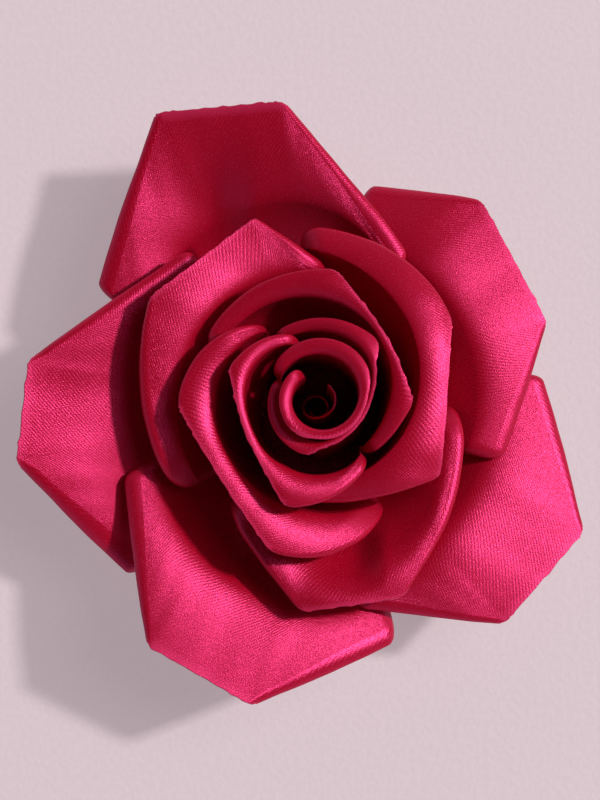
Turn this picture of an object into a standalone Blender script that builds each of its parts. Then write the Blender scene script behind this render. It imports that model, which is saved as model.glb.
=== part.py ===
"""Flower hair clip: a satin rose of rolled-corner petals on a sprung, toothed hair clip.

Run with: blender --background --python part.py
Lengths are in metres. The flower opens along +Z and the clip lies along X, with its
tip at -X and its handles at +X. Z = 0 is the underside of the closed lower jaw.
"""

import math
from dataclasses import dataclass

import bmesh
import bpy
from mathutils import Matrix, Vector

MM = 0.001

# Fits
SEAT = 0.25 * MM  # gap between two pieces that touch
PIN_FIT = 0.3 * MM  # radial gap between the rivet and what turns on it or is wound round it
SIDE_FIT = 0.3 * MM  # gap between the ears of the two arms

# Clip: two pressed strips, hinged on a rivet
STRIP = 0.7 * MM  # steel thickness
UPPER_WIDTH = 10.0 * MM
GRIP_GAP = 4.5 * MM  # between the two arms when closed
TIP_REACH = 28.0 * MM  # from the flower's axis to the tip
HINGE_REACH = 20.0 * MM  # from the flower's axis to the rivet
HANDLE_LENGTH = 18.0 * MM  # from the rivet to the end of the handles
HANDLE_START = 4.0 * MM  # from the rivet to where the upper handle turns up
HANDLE_RISE_DEG = 11.0
TIP_ROUND = 3.0 * MM  # corner radius of the strips, seen from above
EAR_RADIUS = 1.9 * MM
TOOTH_COUNT = 14
TOOTH_PITCH = 2.8 * MM
TOOTH_HEIGHT = 1.4 * MM
TOOTH_START = 1.5 * MM  # from the tip to the first tooth

# Rivet
PIN_RADIUS = 0.75 * MM
PIN_HEAD_RADIUS = 1.5 * MM
PIN_HEAD_HEIGHT = 0.6 * MM

# Torsion spring
SPRING_WIRE = 0.8 * MM
SPRING_PITCH = 1.25 * MM
SPRING_TURNS = 3
SPRING_LEG = HANDLE_LENGTH / 3  # part of each leg that lies along a handle
SPRING_POINTS = 10  # points on one curl

# Flower base
GLUE_THICKNESS = 0.6 * MM
GLUE_LENGTH = 34.0 * MM
GLUE_OVERHANG = 1.5 * MM  # how far the glue squeezes out past the arm's sides
FELT_RADIUS = 22.0 * MM
FELT_THICKNESS = 1.5 * MM
BASE_THICKNESS = 1.0 * MM
BASE_MARGIN = 1.0 * MM  # base disc beyond the outermost petal's foot

# Petals
SHEET = 0.45 * MM  # satin thickness
LAYER_GAP = 0.42 * MM  # between the feet of two petals, one inside the other
LAYERS_PER_TURN = 5.0  # a petal's foot winds outwards by this many layers in a full turn
CORE_RADIUS = 3.2 * MM
CORE_HEIGHT = 26.0 * MM
CORE_TURNS = 1.6
CORE_PITCH = 1.15 * MM
CORE_POINTS = 26  # points on the core's spiral
ROLL_END_DEG = 165.0  # direction in which a rolled edge ends, from straight up
CUT_ROLL_SHARE = 0.05  # how much of the roll is left along a cut edge
CORNER_ROLL_SHARE = 0.75  # how much of the roll's radius is left at a corner
CORNER_ROUND = 1.5 * MM  # length of the rim that rounds each corner
LEAST_LIP = 0.9 * MM  # least distance from the mouth out to the rim
TIP_SHARE = 0.45  # how much of the lip is left at the ends of a petal
EVEN_SHARE = 0.07  # spread, in petal spans, over which the rim's corners are evened out
EVEN_SAMPLES = 8
WALL_PULL = 0.42  # how far a wall is drawn along its end directions, as a share of its length
LIP_PULL = 0.55  # the same for a lip, as a share of its width and drop
OVER_START = 0.40  # share of the span from which a petal's foot steps over the next petal
OVER_END = 0.72  # share of the span where it is over it
COLUMN_DEG = 13.0  # azimuth step of the petal meshes
WALL_ROWS = 4
WALL_ROW_GROWTH = 1.3  # the rows stand closer together near the foot
LIP_ROWS = 7
CURVE_POINTS = 24  # points on a lip's curve before it is laid out in rows
ROLL_POINTS = 8

# Heights, from the closed jaw upwards
UPPER_Z = STRIP + GRIP_GAP
PIN_Z = STRIP + GRIP_GAP / 2
GLUE_Z = UPPER_Z + STRIP + SEAT
FELT_Z = GLUE_Z + GLUE_THICKNESS + SEAT
BASE_Z = FELT_Z + FELT_THICKNESS + SEAT
FOOT_Z = BASE_Z + BASE_THICKNESS + SEAT
LAYER_STEP = SHEET + LAYER_GAP
LOWER_WIDTH = UPPER_WIDTH - 2 * (STRIP + SIDE_FIT)
PIN_CENTRE = Vector((HINGE_REACH, 0.0, PIN_Z))
SPRING_RADIUS = PIN_RADIUS + PIN_FIT + SPRING_WIRE / 2


@dataclass(frozen=True)
class Lip:
    """How a petal rises and turns over: lengths in metres, directions from straight up."""

    foot_deg: float
    over_deg: float  # direction of the foot where it steps over the next petal
    crest_deg: float  # direction at the mouth, where the wall ends
    drop_share: float  # how far the mouth is below the rim, as a share of the lip's width
    cut_deg: float  # direction at the middle of the cut edge
    fold_deg: float  # direction at the folded edges
    roll_radius: float
    tip: float  # length over which each end of the rim narrows and sinks
    dive: float  # how far a rim without a tip's share would sink


@dataclass(frozen=True)
class Petal:
    """One petal: a satin square with its two upper corners rolled back.

    The rim runs clockwise through four places (azimuth in degrees, radius and height
    above the foot in millimetres): folded edge, cut edge, folded edge. The bows say how
    round each of the three edges is, from 0 for straight to 1 for round the axis. The
    mouth gives radii in millimetres at which the wall turns over into the lip, at equal
    steps from the rim's first end to its last.
    """

    name: str
    layer: float  # layers out from the core, at the middle of the cut edge
    rim: tuple
    bows: tuple
    mouth: tuple
    lip: Lip


BUD_LIP = Lip(2.0, 2.0, 0.0, 0.40, 96.0, 106.0, 0.9 * MM, 7.0 * MM, 3.0 * MM)
INNER_LIP = Lip(3.0, 3.0, 1.0, 0.38, 96.0, 106.0, 1.1 * MM, 8.0 * MM, 4.0 * MM)
MIDDLE_LIP = Lip(14.0, 14.0, 6.0, 0.36, 95.0, 104.0, 1.5 * MM, 9.0 * MM, 5.0 * MM)
BROAD_LIP = Lip(26.0, 26.0, 18.0, 0.34, 94.0, 102.0, 2.0 * MM, 9.0 * MM, 5.0 * MM)
HOLLOW_LIP = Lip(24.0, 42.0, 26.0, 0.34, 94.0, 102.0, 2.0 * MM, 9.0 * MM, 5.0 * MM)
OUTER_LIP = Lip(82.0, 22.0, 38.0, 0.24, 84.0, 96.0, 3.6 * MM, 6.0 * MM, 2.0 * MM)
OUTER_BOWS = (0.1, 0.0, 0.1)

PETALS = (
    Petal(
        "bud_petal", 2.6,
        ((151, 8.7, 29), (17, 9.1, 33), (-131, 7.2, 33), (-240, 6.0, 32)),
        (1.23, 0.85, 0.9), (7.6, 7.4, 6.3, 4.8, 4.3), BUD_LIP,
    ),
    Petal(
        "inner_petal_1", 5.0,
        ((124, 13.5, 26), (42, 14.2, 32), (-100, 10.0, 31), (-208, 7.6, 29)),
        (1.0, 0.5, 1.0), (12.2, 10.8, 8.7, 6.8, 6.9), BUD_LIP,
    ),
    Petal(
        "inner_petal_2", 7.3,
        ((310, 13.0, 28), (253, 19.3, 31), (161, 16.1, 31), (107, 11.0, 29)),
        (1.1, 0.2, 1.0), (11.9, 12.8, 12.7, 12.3, 9.9), INNER_LIP,
    ),
    Petal(
        "inner_petal_3", 8.0,
        ((153, 21.8, 21), (82, 22.4, 30), (-2, 16.2, 30), (-47, 12.4, 25)),
        (1.0, 0.25, 0.6), (19.0, 17.2, 13.3, 11.0), INNER_LIP,
    ),
    Petal(
        "middle_petal_1", 9.2,
        ((303, 22.5, 19), (253, 27.1, 27), (182, 23.9, 27), (125, 16.4, 27)),
        (1.4, 0.1, 1.3), (20.0, 18.4, 17.5, 15.3), MIDDLE_LIP,
    ),
    Petal(
        "middle_petal_2", 10.4,
        ((96, 31.1, 20), (32, 27.2, 26), (-32, 24.7, 26), (-98, 17.0, 22)),
        (1.0, 0.0, 0.4), (27.5, 16.8, 14.2), MIDDLE_LIP,
    ),
    Petal(
        "middle_petal_3", 10.2,
        ((213, 29.3, 19), (149, 34.1, 23), (108, 34.1, 23), (85, 23.6, 22)),
        (0.7, 0.0, 0.0), (22.4, 24.0, 22.8), BROAD_LIP,
    ),
    Petal(
        "middle_petal_4", 11.1,
        ((361, 24.8, 17), (294, 36.5, 20), (265, 36.1, 20), (228, 23.5, 19)),
        (0.6, 0.0, 0.2), (21.2, 23.5, 29.0, 31.0, 21.0), HOLLOW_LIP,
    ),
    Petal(
        "outer_petal_1", 13.9,
        ((153, 44.0, 10), (119, 59.1, 17), (96, 53.5, 20), (58, 30.3, 18)),
        OUTER_BOWS, (32.0, 37.0, 25.0), OUTER_LIP,
    ),
    Petal(
        "outer_petal_2", 13.9,
        ((79, 41.0, 9), (52, 47.0, 15.5), (20, 43.1, 17.5), (-17.5, 33.6, 16)),
        OUTER_BOWS, (31.0, 29.0, 27.0), OUTER_LIP,
    ),
    Petal(
        "outer_petal_3", 13.85,
        ((10.5, 40.2, 9), (-24.5, 51.4, 14.5), (-49.5, 49.8, 16.5), (-79, 35.5, 15)),
        OUTER_BOWS, (31.0, 29.0, 30.0), OUTER_LIP,
    ),
    Petal(
        "outer_petal_4", 13.8,
        ((290, 43.1, 9.5), (258, 53.2, 17), (234.5, 50.9, 20), (198.5, 35.4, 18)),
        OUTER_BOWS, (35.0, 33.5, 29.5), OUTER_LIP,
    ),
    Petal(
        "outer_petal_5", 14.0,
        ((223.5, 44.1, 9.5), (191.5, 53.0, 17.5), (171, 50.5, 20), (128.5, 35.0, 18)),
        OUTER_BOWS, (33.0, 32.0, 27.0), OUTER_LIP,
    ),
)


def clear_scene():
    """Remove every object of the scene."""
    for obj in list(bpy.data.objects):
        bpy.data.objects.remove(obj, do_unlink=True)


def new_collection(name):
    """Return a new collection linked to the scene."""
    collection = bpy.data.collections.new(name)
    bpy.context.scene.collection.children.link(collection)
    return collection


def new_material(name, colour, roughness, metallic=0.0):
    """Return a plain Principled material."""
    material = bpy.data.materials.new(name)
    material.use_nodes = True
    shader = material.node_tree.nodes["Principled BSDF"]
    shader.inputs["Base Color"].default_value = (*colour, 1.0)
    shader.inputs["Roughness"].default_value = roughness
    shader.inputs["Metallic"].default_value = metallic
    return material


def satin():
    """Return the crimson satin of the petals."""
    return new_material("satin", (0.50, 0.008, 0.045), 0.38)


def felt():
    """Return the dark red felt of the back."""
    return new_material("felt", (0.16, 0.006, 0.02), 0.95)


def buckram():
    """Return the stiff crimson buckram that the petals are glued on."""
    return new_material("buckram", (0.30, 0.006, 0.03), 0.85)


def hot_glue():
    """Return the milky hot-melt glue."""
    return new_material("hot_glue", (0.80, 0.76, 0.66), 0.30)


def steel():
    """Return the bright plated steel of the clip."""
    return new_material("steel", (0.62, 0.62, 0.63), 0.28, metallic=1.0)


def place(name, mesh, material, collection):
    """Link a mesh to the scene as one named object."""
    obj = bpy.data.objects.new(name, mesh)
    obj.data.materials.append(material)
    collection.objects.link(obj)
    return obj


def mesh_from(name, bm):
    """Turn a bmesh into a mesh."""
    mesh = bpy.data.meshes.new(name)
    bm.to_mesh(mesh)
    bm.free()
    return mesh


def smoothstep(low, high, value):
    """Return 0 below low, 1 above high and a smooth rise between them."""
    t = min(1.0, max(0.0, (value - low) / (high - low)))
    return t * t * (3.0 - 2.0 * t)


def edge_place(start, end, bow, t):
    """Return (azimuth, radius, height) at the share t of one rim edge."""
    angle_a, radius_a, height_a = start
    angle_b, radius_b, height_b = end
    span = math.radians(angle_b - angle_a)
    chord = math.sin(span) / (math.sin(span * (1 - t)) / radius_a + math.sin(span * t) / radius_b)
    arc = radius_a + (radius_b - radius_a) * t
    return (
        angle_a + (angle_b - angle_a) * t,
        chord + (arc - chord) * bow,
        height_a + (height_b - height_a) * t,
    )


def edge_length(start, end):
    """Return the straight length of one rim edge in metres."""
    ends = [
        Vector((r * math.cos(math.radians(a)), r * math.sin(math.radians(a)), h))
        for a, r, h in (start, end)
    ]
    return (ends[1] - ends[0]).length * MM


def corner_shares(petal):
    """Return, for each rim edge, the share of its length that rounds a corner."""
    return [CORNER_ROUND / edge_length(petal.rim[i], petal.rim[i + 1]) for i in range(3)]


def rim_place(petal, along):
    """Return (azimuth in radians, radius, height) of the rim, for along from 0 to 3."""
    shares = corner_shares(petal)
    for corner in (1, 2):
        before, after = shares[corner - 1], shares[corner]
        if corner - before < along < corner + after:
            first = edge_place(*petal.rim[corner - 1:corner + 1], petal.bows[corner - 1], 1 - before)
            last = edge_place(*petal.rim[corner:corner + 2], petal.bows[corner], after)
            t = (along - corner + before) / (before + after)
            weights = ((1 - t) ** 2, 2 * t * (1 - t), t * t)
            points = (first, petal.rim[corner], last)
            angle, radius, height = (
                sum(w * p[i] for w, p in zip(weights, points)) for i in range(3)
            )
            return math.radians(angle), radius * MM, height * MM
    edge = min(2, int(along))
    angle, radius, height = edge_place(
        petal.rim[edge], petal.rim[edge + 1], petal.bows[edge], along - edge
    )
    return math.radians(angle), radius * MM, height * MM


def roll_share(petal, along):
    """Return how much of the roll there is: all on folded edges, little on the cut edge."""
    shares = corner_shares(petal)
    fold = 1 - smoothstep(1 - shares[0], 1 + shares[1], along)
    fold += smoothstep(2 - shares[1], 2 + shares[2], along)
    return CUT_ROLL_SHARE + (1 - CUT_ROLL_SHARE) * fold


def fold_share(along):
    """Return the share of the roll's radius: less at a corner, full along a fold."""
    away = min(abs(along - 1.0), abs(along - 2.0))
    return CORNER_ROLL_SHARE + (1 - CORNER_ROLL_SHARE) * smoothstep(0.0, 0.6, away)


def droop_share(along):
    """Return how much the rim droops: all along the folds, none in the middle of the cut edge."""
    return 1 - smoothstep(0.3, 1.5, along) + smoothstep(1.5, 2.7, along)


def tip_share(petal, along):
    """Return 1 along the rim, rounding down to the tip's share at its two ends."""
    edge = 0 if along < 1.5 else 2
    left = min(along, 3.0 - along) * edge_length(petal.rim[edge], petal.rim[edge + 1])
    return TIP_SHARE + (1 - TIP_SHARE) * smoothstep(0.0, petal.lip.tip, left)


def span_share(petal, azimuth):
    """Return how far an azimuth is from the rim's first end to its last, from 0 to 1."""
    first, last = math.radians(petal.rim[0][0]), math.radians(petal.rim[3][0])
    return (azimuth - first) / (last - first)


def rim_at(petal, share):
    """Return the (radius, height) of the rim at a share of the span, carried on past its ends."""
    if share < 0.0:
        return 2 * rim_at(petal, 0.0) - rim_at(petal, -share)
    if share > 1.0:
        return 2 * rim_at(petal, 1.0) - rim_at(petal, 2.0 - share)
    angle = petal.rim[0][0] + (petal.rim[3][0] - petal.rim[0][0]) * share
    edge = (angle < petal.rim[1][0]) + (angle < petal.rim[2][0])
    start, end = petal.rim[edge], petal.rim[edge + 1]
    t = (angle - start[0]) / (end[0] - start[0])
    return Vector(edge_place(start, end, petal.bows[edge], t)[1:]) * MM


def even_place(petal, share):
    """Return the (radius, height) of the rim with its corners evened out, so the lip has no crease."""
    total, weights = Vector((0.0, 0.0)), 0.0
    for i in range(-EVEN_SAMPLES, EVEN_SAMPLES + 1):
        spread = 3 * i / EVEN_SAMPLES
        weight = math.exp(-spread * spread / 2)
        total += weight * rim_at(petal, share + spread * EVEN_SHARE)
        weights += weight
    return total / weights


def mouth_radius(petal, share):
    """Return the mouth's radius: the one smooth curve through the petal's given radii."""
    steps = len(petal.mouth) - 1
    total = 0.0
    for i, radius in enumerate(petal.mouth):
        for j in range(steps + 1):
            if j != i:
                radius *= (share * steps - j) / (i - j)
        total += radius
    return total * MM


def softly_below(value, limit):
    """Bring a value softly to at least one least lip below a limit."""
    return limit - LEAST_LIP * (1 + math.log1p(math.exp((limit - value) / LEAST_LIP - 1)))


def turned(start, radius, from_angle, angle):
    """Return the point reached by an arc that turns outwards, in the (radius, height) plane."""
    return start + radius * Vector((
        math.cos(from_angle) - math.cos(from_angle + angle),
        math.sin(from_angle + angle) - math.sin(from_angle),
    ))


def heading(angle):
    """Return the direction at an angle from straight up, in the (radius, height) plane."""
    return Vector((math.sin(angle), math.cos(angle)))


def swept(start, first, end, last, pulls, t):
    """Return a point of the smooth curve that leaves and arrives in the two given directions."""
    s = 1 - t
    p1 = start + pulls[0] * heading(first)
    p2 = end - pulls[1] * heading(last)
    return s ** 3 * start + 3 * s * s * t * p1 + 3 * s * t * t * p2 + t ** 3 * end


def cut_at(curve, radius):
    """Cut a curve that runs outwards where it comes to a radius."""
    kept = [curve[0]]
    for a, b in zip(curve, curve[1:]):
        if b.x >= radius:
            kept.append(a.lerp(b, max(0.0, (radius - a.x) / (b.x - a.x))))
            break
        kept.append(b)
    return kept


def even_steps(curve, steps):
    """Return points in even steps along a curve."""
    lengths = [0.0]
    for a, b in zip(curve, curve[1:]):
        lengths.append(lengths[-1] + (b - a).length)
    points = [curve[0]]
    for i in range(1, steps):
        at = lengths[-1] * i / steps
        k = next(k for k, length in enumerate(lengths) if length >= at)
        points.append(curve[k - 1].lerp(curve[k], (at - lengths[k - 1]) / (lengths[k] - lengths[k - 1])))
    return points + [curve[-1]]


def foot_radius(petal, azimuth):
    """Return the radius of a petal's foot, which winds outwards with the azimuth."""
    middle = math.radians(petal.rim[1][0] + petal.rim[2][0]) / 2
    layer = petal.layer + LAYERS_PER_TURN * (azimuth - middle) / math.tau
    return CORE_RADIUS + LAYER_STEP * (layer + 1)


def petal_profile(petal, along):
    """Return the azimuth and the (radius, height) points of a petal from foot to rolled edge."""
    lip, roll, tip = petal.lip, roll_share(petal, along), tip_share(petal, along)
    azimuth, out_radius, _ = rim_place(petal, along)
    share = span_share(petal, azimuth)
    rim = even_place(petal, share) - Vector((0.0, (1 - tip) * lip.dive))
    roll_radius = lip.roll_radius * fold_share(along)
    lean = math.radians(lip.crest_deg)
    crown = math.radians(lip.cut_deg + (lip.fold_deg - lip.cut_deg) * droop_share(along))
    mouth = softly_below(mouth_radius(petal, share), rim.x - lip.roll_radius / 2)
    width = rim.x - mouth
    drop = lip.drop_share * width
    crest = rim - Vector((width, drop))
    pulls = (LIP_PULL * drop / math.cos(lean), LIP_PULL * width)
    curve = [swept(crest, lean, rim, crown, pulls, i / CURVE_POINTS) for i in range(CURVE_POINTS + 1)]
    curve.append(rim + 4 * lip.roll_radius * heading(crown))
    out_radius = -softly_below(roll_radius * roll - out_radius, -mouth)
    out_radius = mouth + LEAST_LIP + (out_radius - mouth - LEAST_LIP) * tip
    turning = cut_at(curve, out_radius)
    end_lean = math.atan2(*(turning[-1] - turning[-2]))
    roll_angle = (math.radians(ROLL_END_DEG) - end_lean) * roll
    turning += [
        turned(turning[-1], roll_radius, end_lean, roll_angle * i / ROLL_POINTS)
        for i in range(1, ROLL_POINTS + 1)
    ]
    over = smoothstep(OVER_START, OVER_END, share)
    foot_lean = math.radians(lip.foot_deg + (lip.over_deg - lip.foot_deg) * over)
    foot = Vector((foot_radius(petal, azimuth), SHEET * math.sin(foot_lean)))
    pull = WALL_PULL * (crest - foot).length
    points = [
        swept(foot, foot_lean, crest, lean, (pull, pull), (i / WALL_ROWS) ** WALL_ROW_GROWTH)
        for i in range(WALL_ROWS)
    ]
    return azimuth, points + even_steps(turning, LIP_ROWS)


def petal_columns(petal):
    """Return the places along the rim, from 0 to 3, at which the petal's mesh has a column."""
    shares = corner_shares(petal)
    stops = (0.0, 1 - shares[0], 1.0, 1 + shares[1], 2 - shares[1], 2.0, 2 + shares[2], 3.0)
    columns = [0.0]
    for start, end in zip(stops, stops[1:]):
        span = abs(rim_place(petal, end)[0] - rim_place(petal, start)[0])
        steps = max(1, round(math.degrees(span) / COLUMN_DEG))
        columns += [start + (end - start) * (i + 1) / steps for i in range(steps)]
    return columns


def build_petal(petal, material, collection):
    """Make one petal as a thin shell: a grid laid along its profiles, made solid."""
    profiles = [petal_profile(petal, along) for along in petal_columns(petal)]
    across, up = len(profiles) - 1, len(profiles[0][1]) - 1
    bm = bmesh.new()
    bmesh.ops.create_grid(bm, x_segments=across, y_segments=up, size=1.0)
    for vert in bm.verts:
        column = round((vert.co.x + 1) / 2 * across)
        row = round((vert.co.y + 1) / 2 * up)
        azimuth, points = profiles[column]
        radius, height = points[row]
        vert.co = (
            radius * math.cos(azimuth),
            radius * math.sin(azimuth),
            FOOT_Z + height,
        )
    bmesh.ops.recalc_face_normals(bm, faces=bm.faces)
    foot_face = min(bm.faces, key=lambda face: face.calc_center_median().z)
    if foot_face.normal.dot(foot_face.calc_center_median() * Vector((1, 1, 0))) > 0:
        bmesh.ops.reverse_faces(bm, faces=bm.faces)
    obj = place(petal.name, mesh_from(petal.name, bm), material, collection)
    shell = obj.modifiers.new("sheet", "SOLIDIFY")
    shell.thickness = SHEET
    shell.offset = -1.0
    return obj


def build_core(material, collection):
    """Make the rolled strip in the middle of the bud."""
    curve = bpy.data.curves.new("bud_core", "CURVE")
    curve.dimensions = "2D"
    curve.fill_mode = "NONE"
    spline = curve.splines.new("POLY")
    spline.points.add(CORE_POINTS - 1)
    for i, point in enumerate(spline.points):
        turn = CORE_TURNS * i / (CORE_POINTS - 1)
        radius = CORE_RADIUS - SHEET - CORE_PITCH * turn
        angle = -math.tau * turn
        point.co = (radius * math.cos(angle), radius * math.sin(angle), 0.0, 1.0)
    curve.extrude = CORE_HEIGHT / 2
    roll = bpy.data.objects.new("bud_core_roll", curve)
    collection.objects.link(roll)
    mesh = bpy.data.meshes.new_from_object(roll.evaluated_get(bpy.context.evaluated_depsgraph_get()))
    bpy.data.objects.remove(roll, do_unlink=True)
    mesh.name = "bud_core"
    mesh.materials.clear()
    obj = place("bud_core", mesh, material, collection)
    obj.location.z = FOOT_Z + CORE_HEIGHT / 2
    shell = obj.modifiers.new("sheet", "SOLIDIFY")
    shell.thickness = SHEET
    shell.offset = 0.0
    return obj


def disc(name, radius, bottom, thickness, material, collection):
    """Make a round flat piece."""
    bm = bmesh.new()
    bmesh.ops.create_cone(
        bm, cap_ends=True, segments=48, radius1=radius, radius2=radius, depth=thickness,
        matrix=Matrix.Translation((0.0, 0.0, bottom + thickness / 2)),
    )
    return place(name, mesh_from(name, bm), material, collection)


def build_base(material, collection):
    """Make the stiff disc that the petals' feet stand on."""
    outermost = max(
        foot_radius(petal, math.radians(petal.rim[0][0])) for petal in PETALS
    )
    return disc(
        "petal_base", outermost + SHEET + BASE_MARGIN, BASE_Z, BASE_THICKNESS, material, collection
    )


def extruded(name, outline, thickness):
    """Return a mesh: a closed outline in its XY plane, as thick on both sides of it."""
    curve = bpy.data.curves.new(name, "CURVE")
    curve.dimensions = "2D"
    curve.fill_mode = "BOTH"
    curve.extrude = thickness / 2
    spline = curve.splines.new("POLY")
    spline.use_cyclic_u = True
    spline.points.add(len(outline) - 1)
    for point, (x, y) in zip(spline.points, outline):
        point.co = (x, y, 0.0, 1.0)
    obj = bpy.data.objects.new(name, curve)
    bpy.context.scene.collection.objects.link(obj)
    mesh = bpy.data.meshes.new_from_object(obj.evaluated_get(bpy.context.evaluated_depsgraph_get()))
    bpy.data.objects.remove(obj, do_unlink=True)
    bm = bmesh.new()
    bm.from_mesh(mesh)
    bmesh.ops.remove_doubles(bm, verts=bm.verts, dist=0.00001)
    bmesh.ops.recalc_face_normals(bm, faces=bm.faces)
    bm.to_mesh(mesh)
    bm.free()
    return mesh


def arc(centre, radius, start_deg, end_deg, steps):
    """Return points on an arc, ends included."""
    angles = [math.radians(start_deg + (end_deg - start_deg) * i / steps) for i in range(steps + 1)]
    return [(centre[0] + radius * math.cos(a), centre[1] + radius * math.sin(a)) for a in angles]


def rounded_rectangle(low_x, high_x, width, radius, steps=5):
    """Return the outline of a strip with rounded corners, centred on the X axis."""
    low_y, high_y = -width / 2 + radius, width / 2 - radius
    return (
        arc((high_x - radius, high_y), radius, 0, 90, steps)
        + arc((low_x + radius, high_y), radius, 90, 180, steps)
        + arc((low_x + radius, low_y), radius, 180, 270, steps)
        + arc((high_x - radius, low_y), radius, 270, 360, steps)
    )


def upright(y):
    """Return the matrix that stands an XY outline up in the XZ plane, at the given Y."""
    return Matrix.Translation((0.0, y, 0.0)) @ Matrix.Rotation(math.pi / 2, 4, "X")


def cutter(name, mesh, matrix, cutters):
    """Link a mesh as a hidden Boolean operand."""
    obj = bpy.data.objects.new(name, mesh)
    obj.matrix_world = matrix
    obj.hide_render = True
    obj.display_type = "WIRE"
    cutters.objects.link(obj)
    return obj


def boolean(obj, operand, operation):
    """Add an exact Boolean modifier."""
    modifier = obj.modifiers.new(operand.name, "BOOLEAN")
    modifier.object = operand
    modifier.operation = operation
    modifier.solver = "EXACT"


def pin_hole(name, cutters):
    """Return the cutter of the rivet's hole through the ears."""
    bm = bmesh.new()
    radius = PIN_RADIUS + PIN_FIT
    bmesh.ops.create_cone(
        bm, cap_ends=True, segments=20, radius1=radius, radius2=radius, depth=2 * UPPER_WIDTH,
    )
    matrix = Matrix.Translation(PIN_CENTRE) @ Matrix.Rotation(math.pi / 2, 4, "X")
    return cutter(name, mesh_from(name, bm), matrix, cutters)


def ear_outline(root_z, tip_sign):
    """Return an ear, seen along Y: straight sides from the strip, round over the rivet."""
    x, z = PIN_CENTRE.x, PIN_CENTRE.z
    start = 0 if tip_sign > 0 else 180
    return [(x - tip_sign * EAR_RADIUS, root_z), (x + tip_sign * EAR_RADIUS, root_z)] + arc(
        (x, z), EAR_RADIUS, start, start + 180, 10
    )


def add_ears(obj, width, root_z, tip_sign, cutters):
    """Join two ears to an arm, flush with its sides, and bore them for the rivet."""
    for side in (-1, 1):
        name = f"{obj.name}_ear_{'right' if side < 0 else 'left'}"
        mesh = extruded(name, ear_outline(root_z, tip_sign), STRIP)
        boolean(obj, cutter(name, mesh, upright(side * (width - STRIP) / 2), cutters), "UNION")
    boolean(obj, pin_hole(f"{obj.name}_pin_hole", cutters), "DIFFERENCE")


def build_upper_arm(material, collection, cutters):
    """Make the upper arm: a flat strip whose handle turns up, with two ears down."""
    bend_x = HINGE_REACH + HANDLE_START
    end_x = HINGE_REACH + HANDLE_LENGTH
    slope = math.tan(math.radians(HANDLE_RISE_DEG))
    rise = (end_x - bend_x) * slope
    top_z = UPPER_Z + STRIP
    side = [
        (-TIP_REACH, UPPER_Z), (bend_x, UPPER_Z), (end_x, UPPER_Z + rise),
        (end_x, top_z + rise), (bend_x, top_z), (-TIP_REACH, top_z),
    ]
    mesh = extruded("clip_upper_arm", side, UPPER_WIDTH)
    mesh.transform(upright(0.0))
    obj = place("clip_upper_arm", mesh, material, collection)
    outline = rounded_rectangle(-TIP_REACH, end_x, UPPER_WIDTH, TIP_ROUND)
    plan = extruded("upper_plan", outline, 4 * top_z)
    boolean(obj, cutter("upper_plan", plan, Matrix.Identity(4), cutters), "INTERSECT")
    add_ears(obj, UPPER_WIDTH, UPPER_Z + STRIP / 2, -1, cutters)
    return obj


def tooth_outline():
    """Return one toothed flange of the lower jaw, seen along Y."""
    start_x = -TIP_REACH + TOOTH_START + TIP_ROUND
    top_z = UPPER_Z - SEAT
    valley_z = top_z - TOOTH_HEIGHT
    outline = [(start_x, STRIP / 2)]
    for i in range(TOOTH_COUNT):
        x = start_x + i * TOOTH_PITCH
        outline += [(x, valley_z), (x + TOOTH_PITCH / 2, top_z)]
    end_x = start_x + TOOTH_COUNT * TOOTH_PITCH
    return outline + [(end_x, valley_z), (end_x, STRIP / 2)]


def build_lower_jaw(material, collection, cutters, hinge):
    """Make the lower jaw: a flat strip with toothed flanges and two ears up."""
    end_x = HINGE_REACH + HANDLE_LENGTH
    mesh = extruded(
        "clip_lower_jaw", rounded_rectangle(-TIP_REACH, end_x, LOWER_WIDTH, TIP_ROUND), STRIP
    )
    mesh.transform(Matrix.Translation((0.0, 0.0, STRIP / 2)))
    obj = place("clip_lower_jaw", mesh, material, collection)
    for side in (-1, 1):
        name = f"jaw_teeth_{'right' if side < 0 else 'left'}"
        flange = extruded(name, tooth_outline(), STRIP)
        matrix = upright(side * (LOWER_WIDTH - STRIP) / 2)
        boolean(obj, cutter(name, flange, matrix, cutters), "UNION")
    add_ears(obj, LOWER_WIDTH, STRIP / 2, 1, cutters)
    obj.data.transform(Matrix.Translation(-hinge.location))
    obj.parent = hinge
    return obj


def build_pin(material, collection):
    """Make the rivet: a turned profile with a head at each end."""
    half = UPPER_WIDTH / 2 + SEAT
    end = half + PIN_HEAD_HEIGHT
    profile = [
        (0.0, end), (PIN_HEAD_RADIUS, end), (PIN_HEAD_RADIUS, half), (PIN_RADIUS, half),
        (PIN_RADIUS, -half), (PIN_HEAD_RADIUS, -half), (PIN_HEAD_RADIUS, -end), (0.0, -end),
    ]
    bm = bmesh.new()
    verts = [bm.verts.new((radius, 0.0, along)) for radius, along in profile]
    for a, b in zip(verts, verts[1:]):
        bm.edges.new((a, b))
    obj = place("hinge_pin", mesh_from("hinge_pin", bm), material, collection)
    obj.location = PIN_CENTRE
    obj.rotation_euler.x = math.pi / 2
    screw = obj.modifiers.new("turned", "SCREW")
    screw.steps = 20
    screw.render_steps = 20
    screw.use_merge_vertices = True
    screw.merge_threshold = 0.00001
    screw.use_normal_calculate = True
    screw.use_normal_flip = True
    return obj


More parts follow.
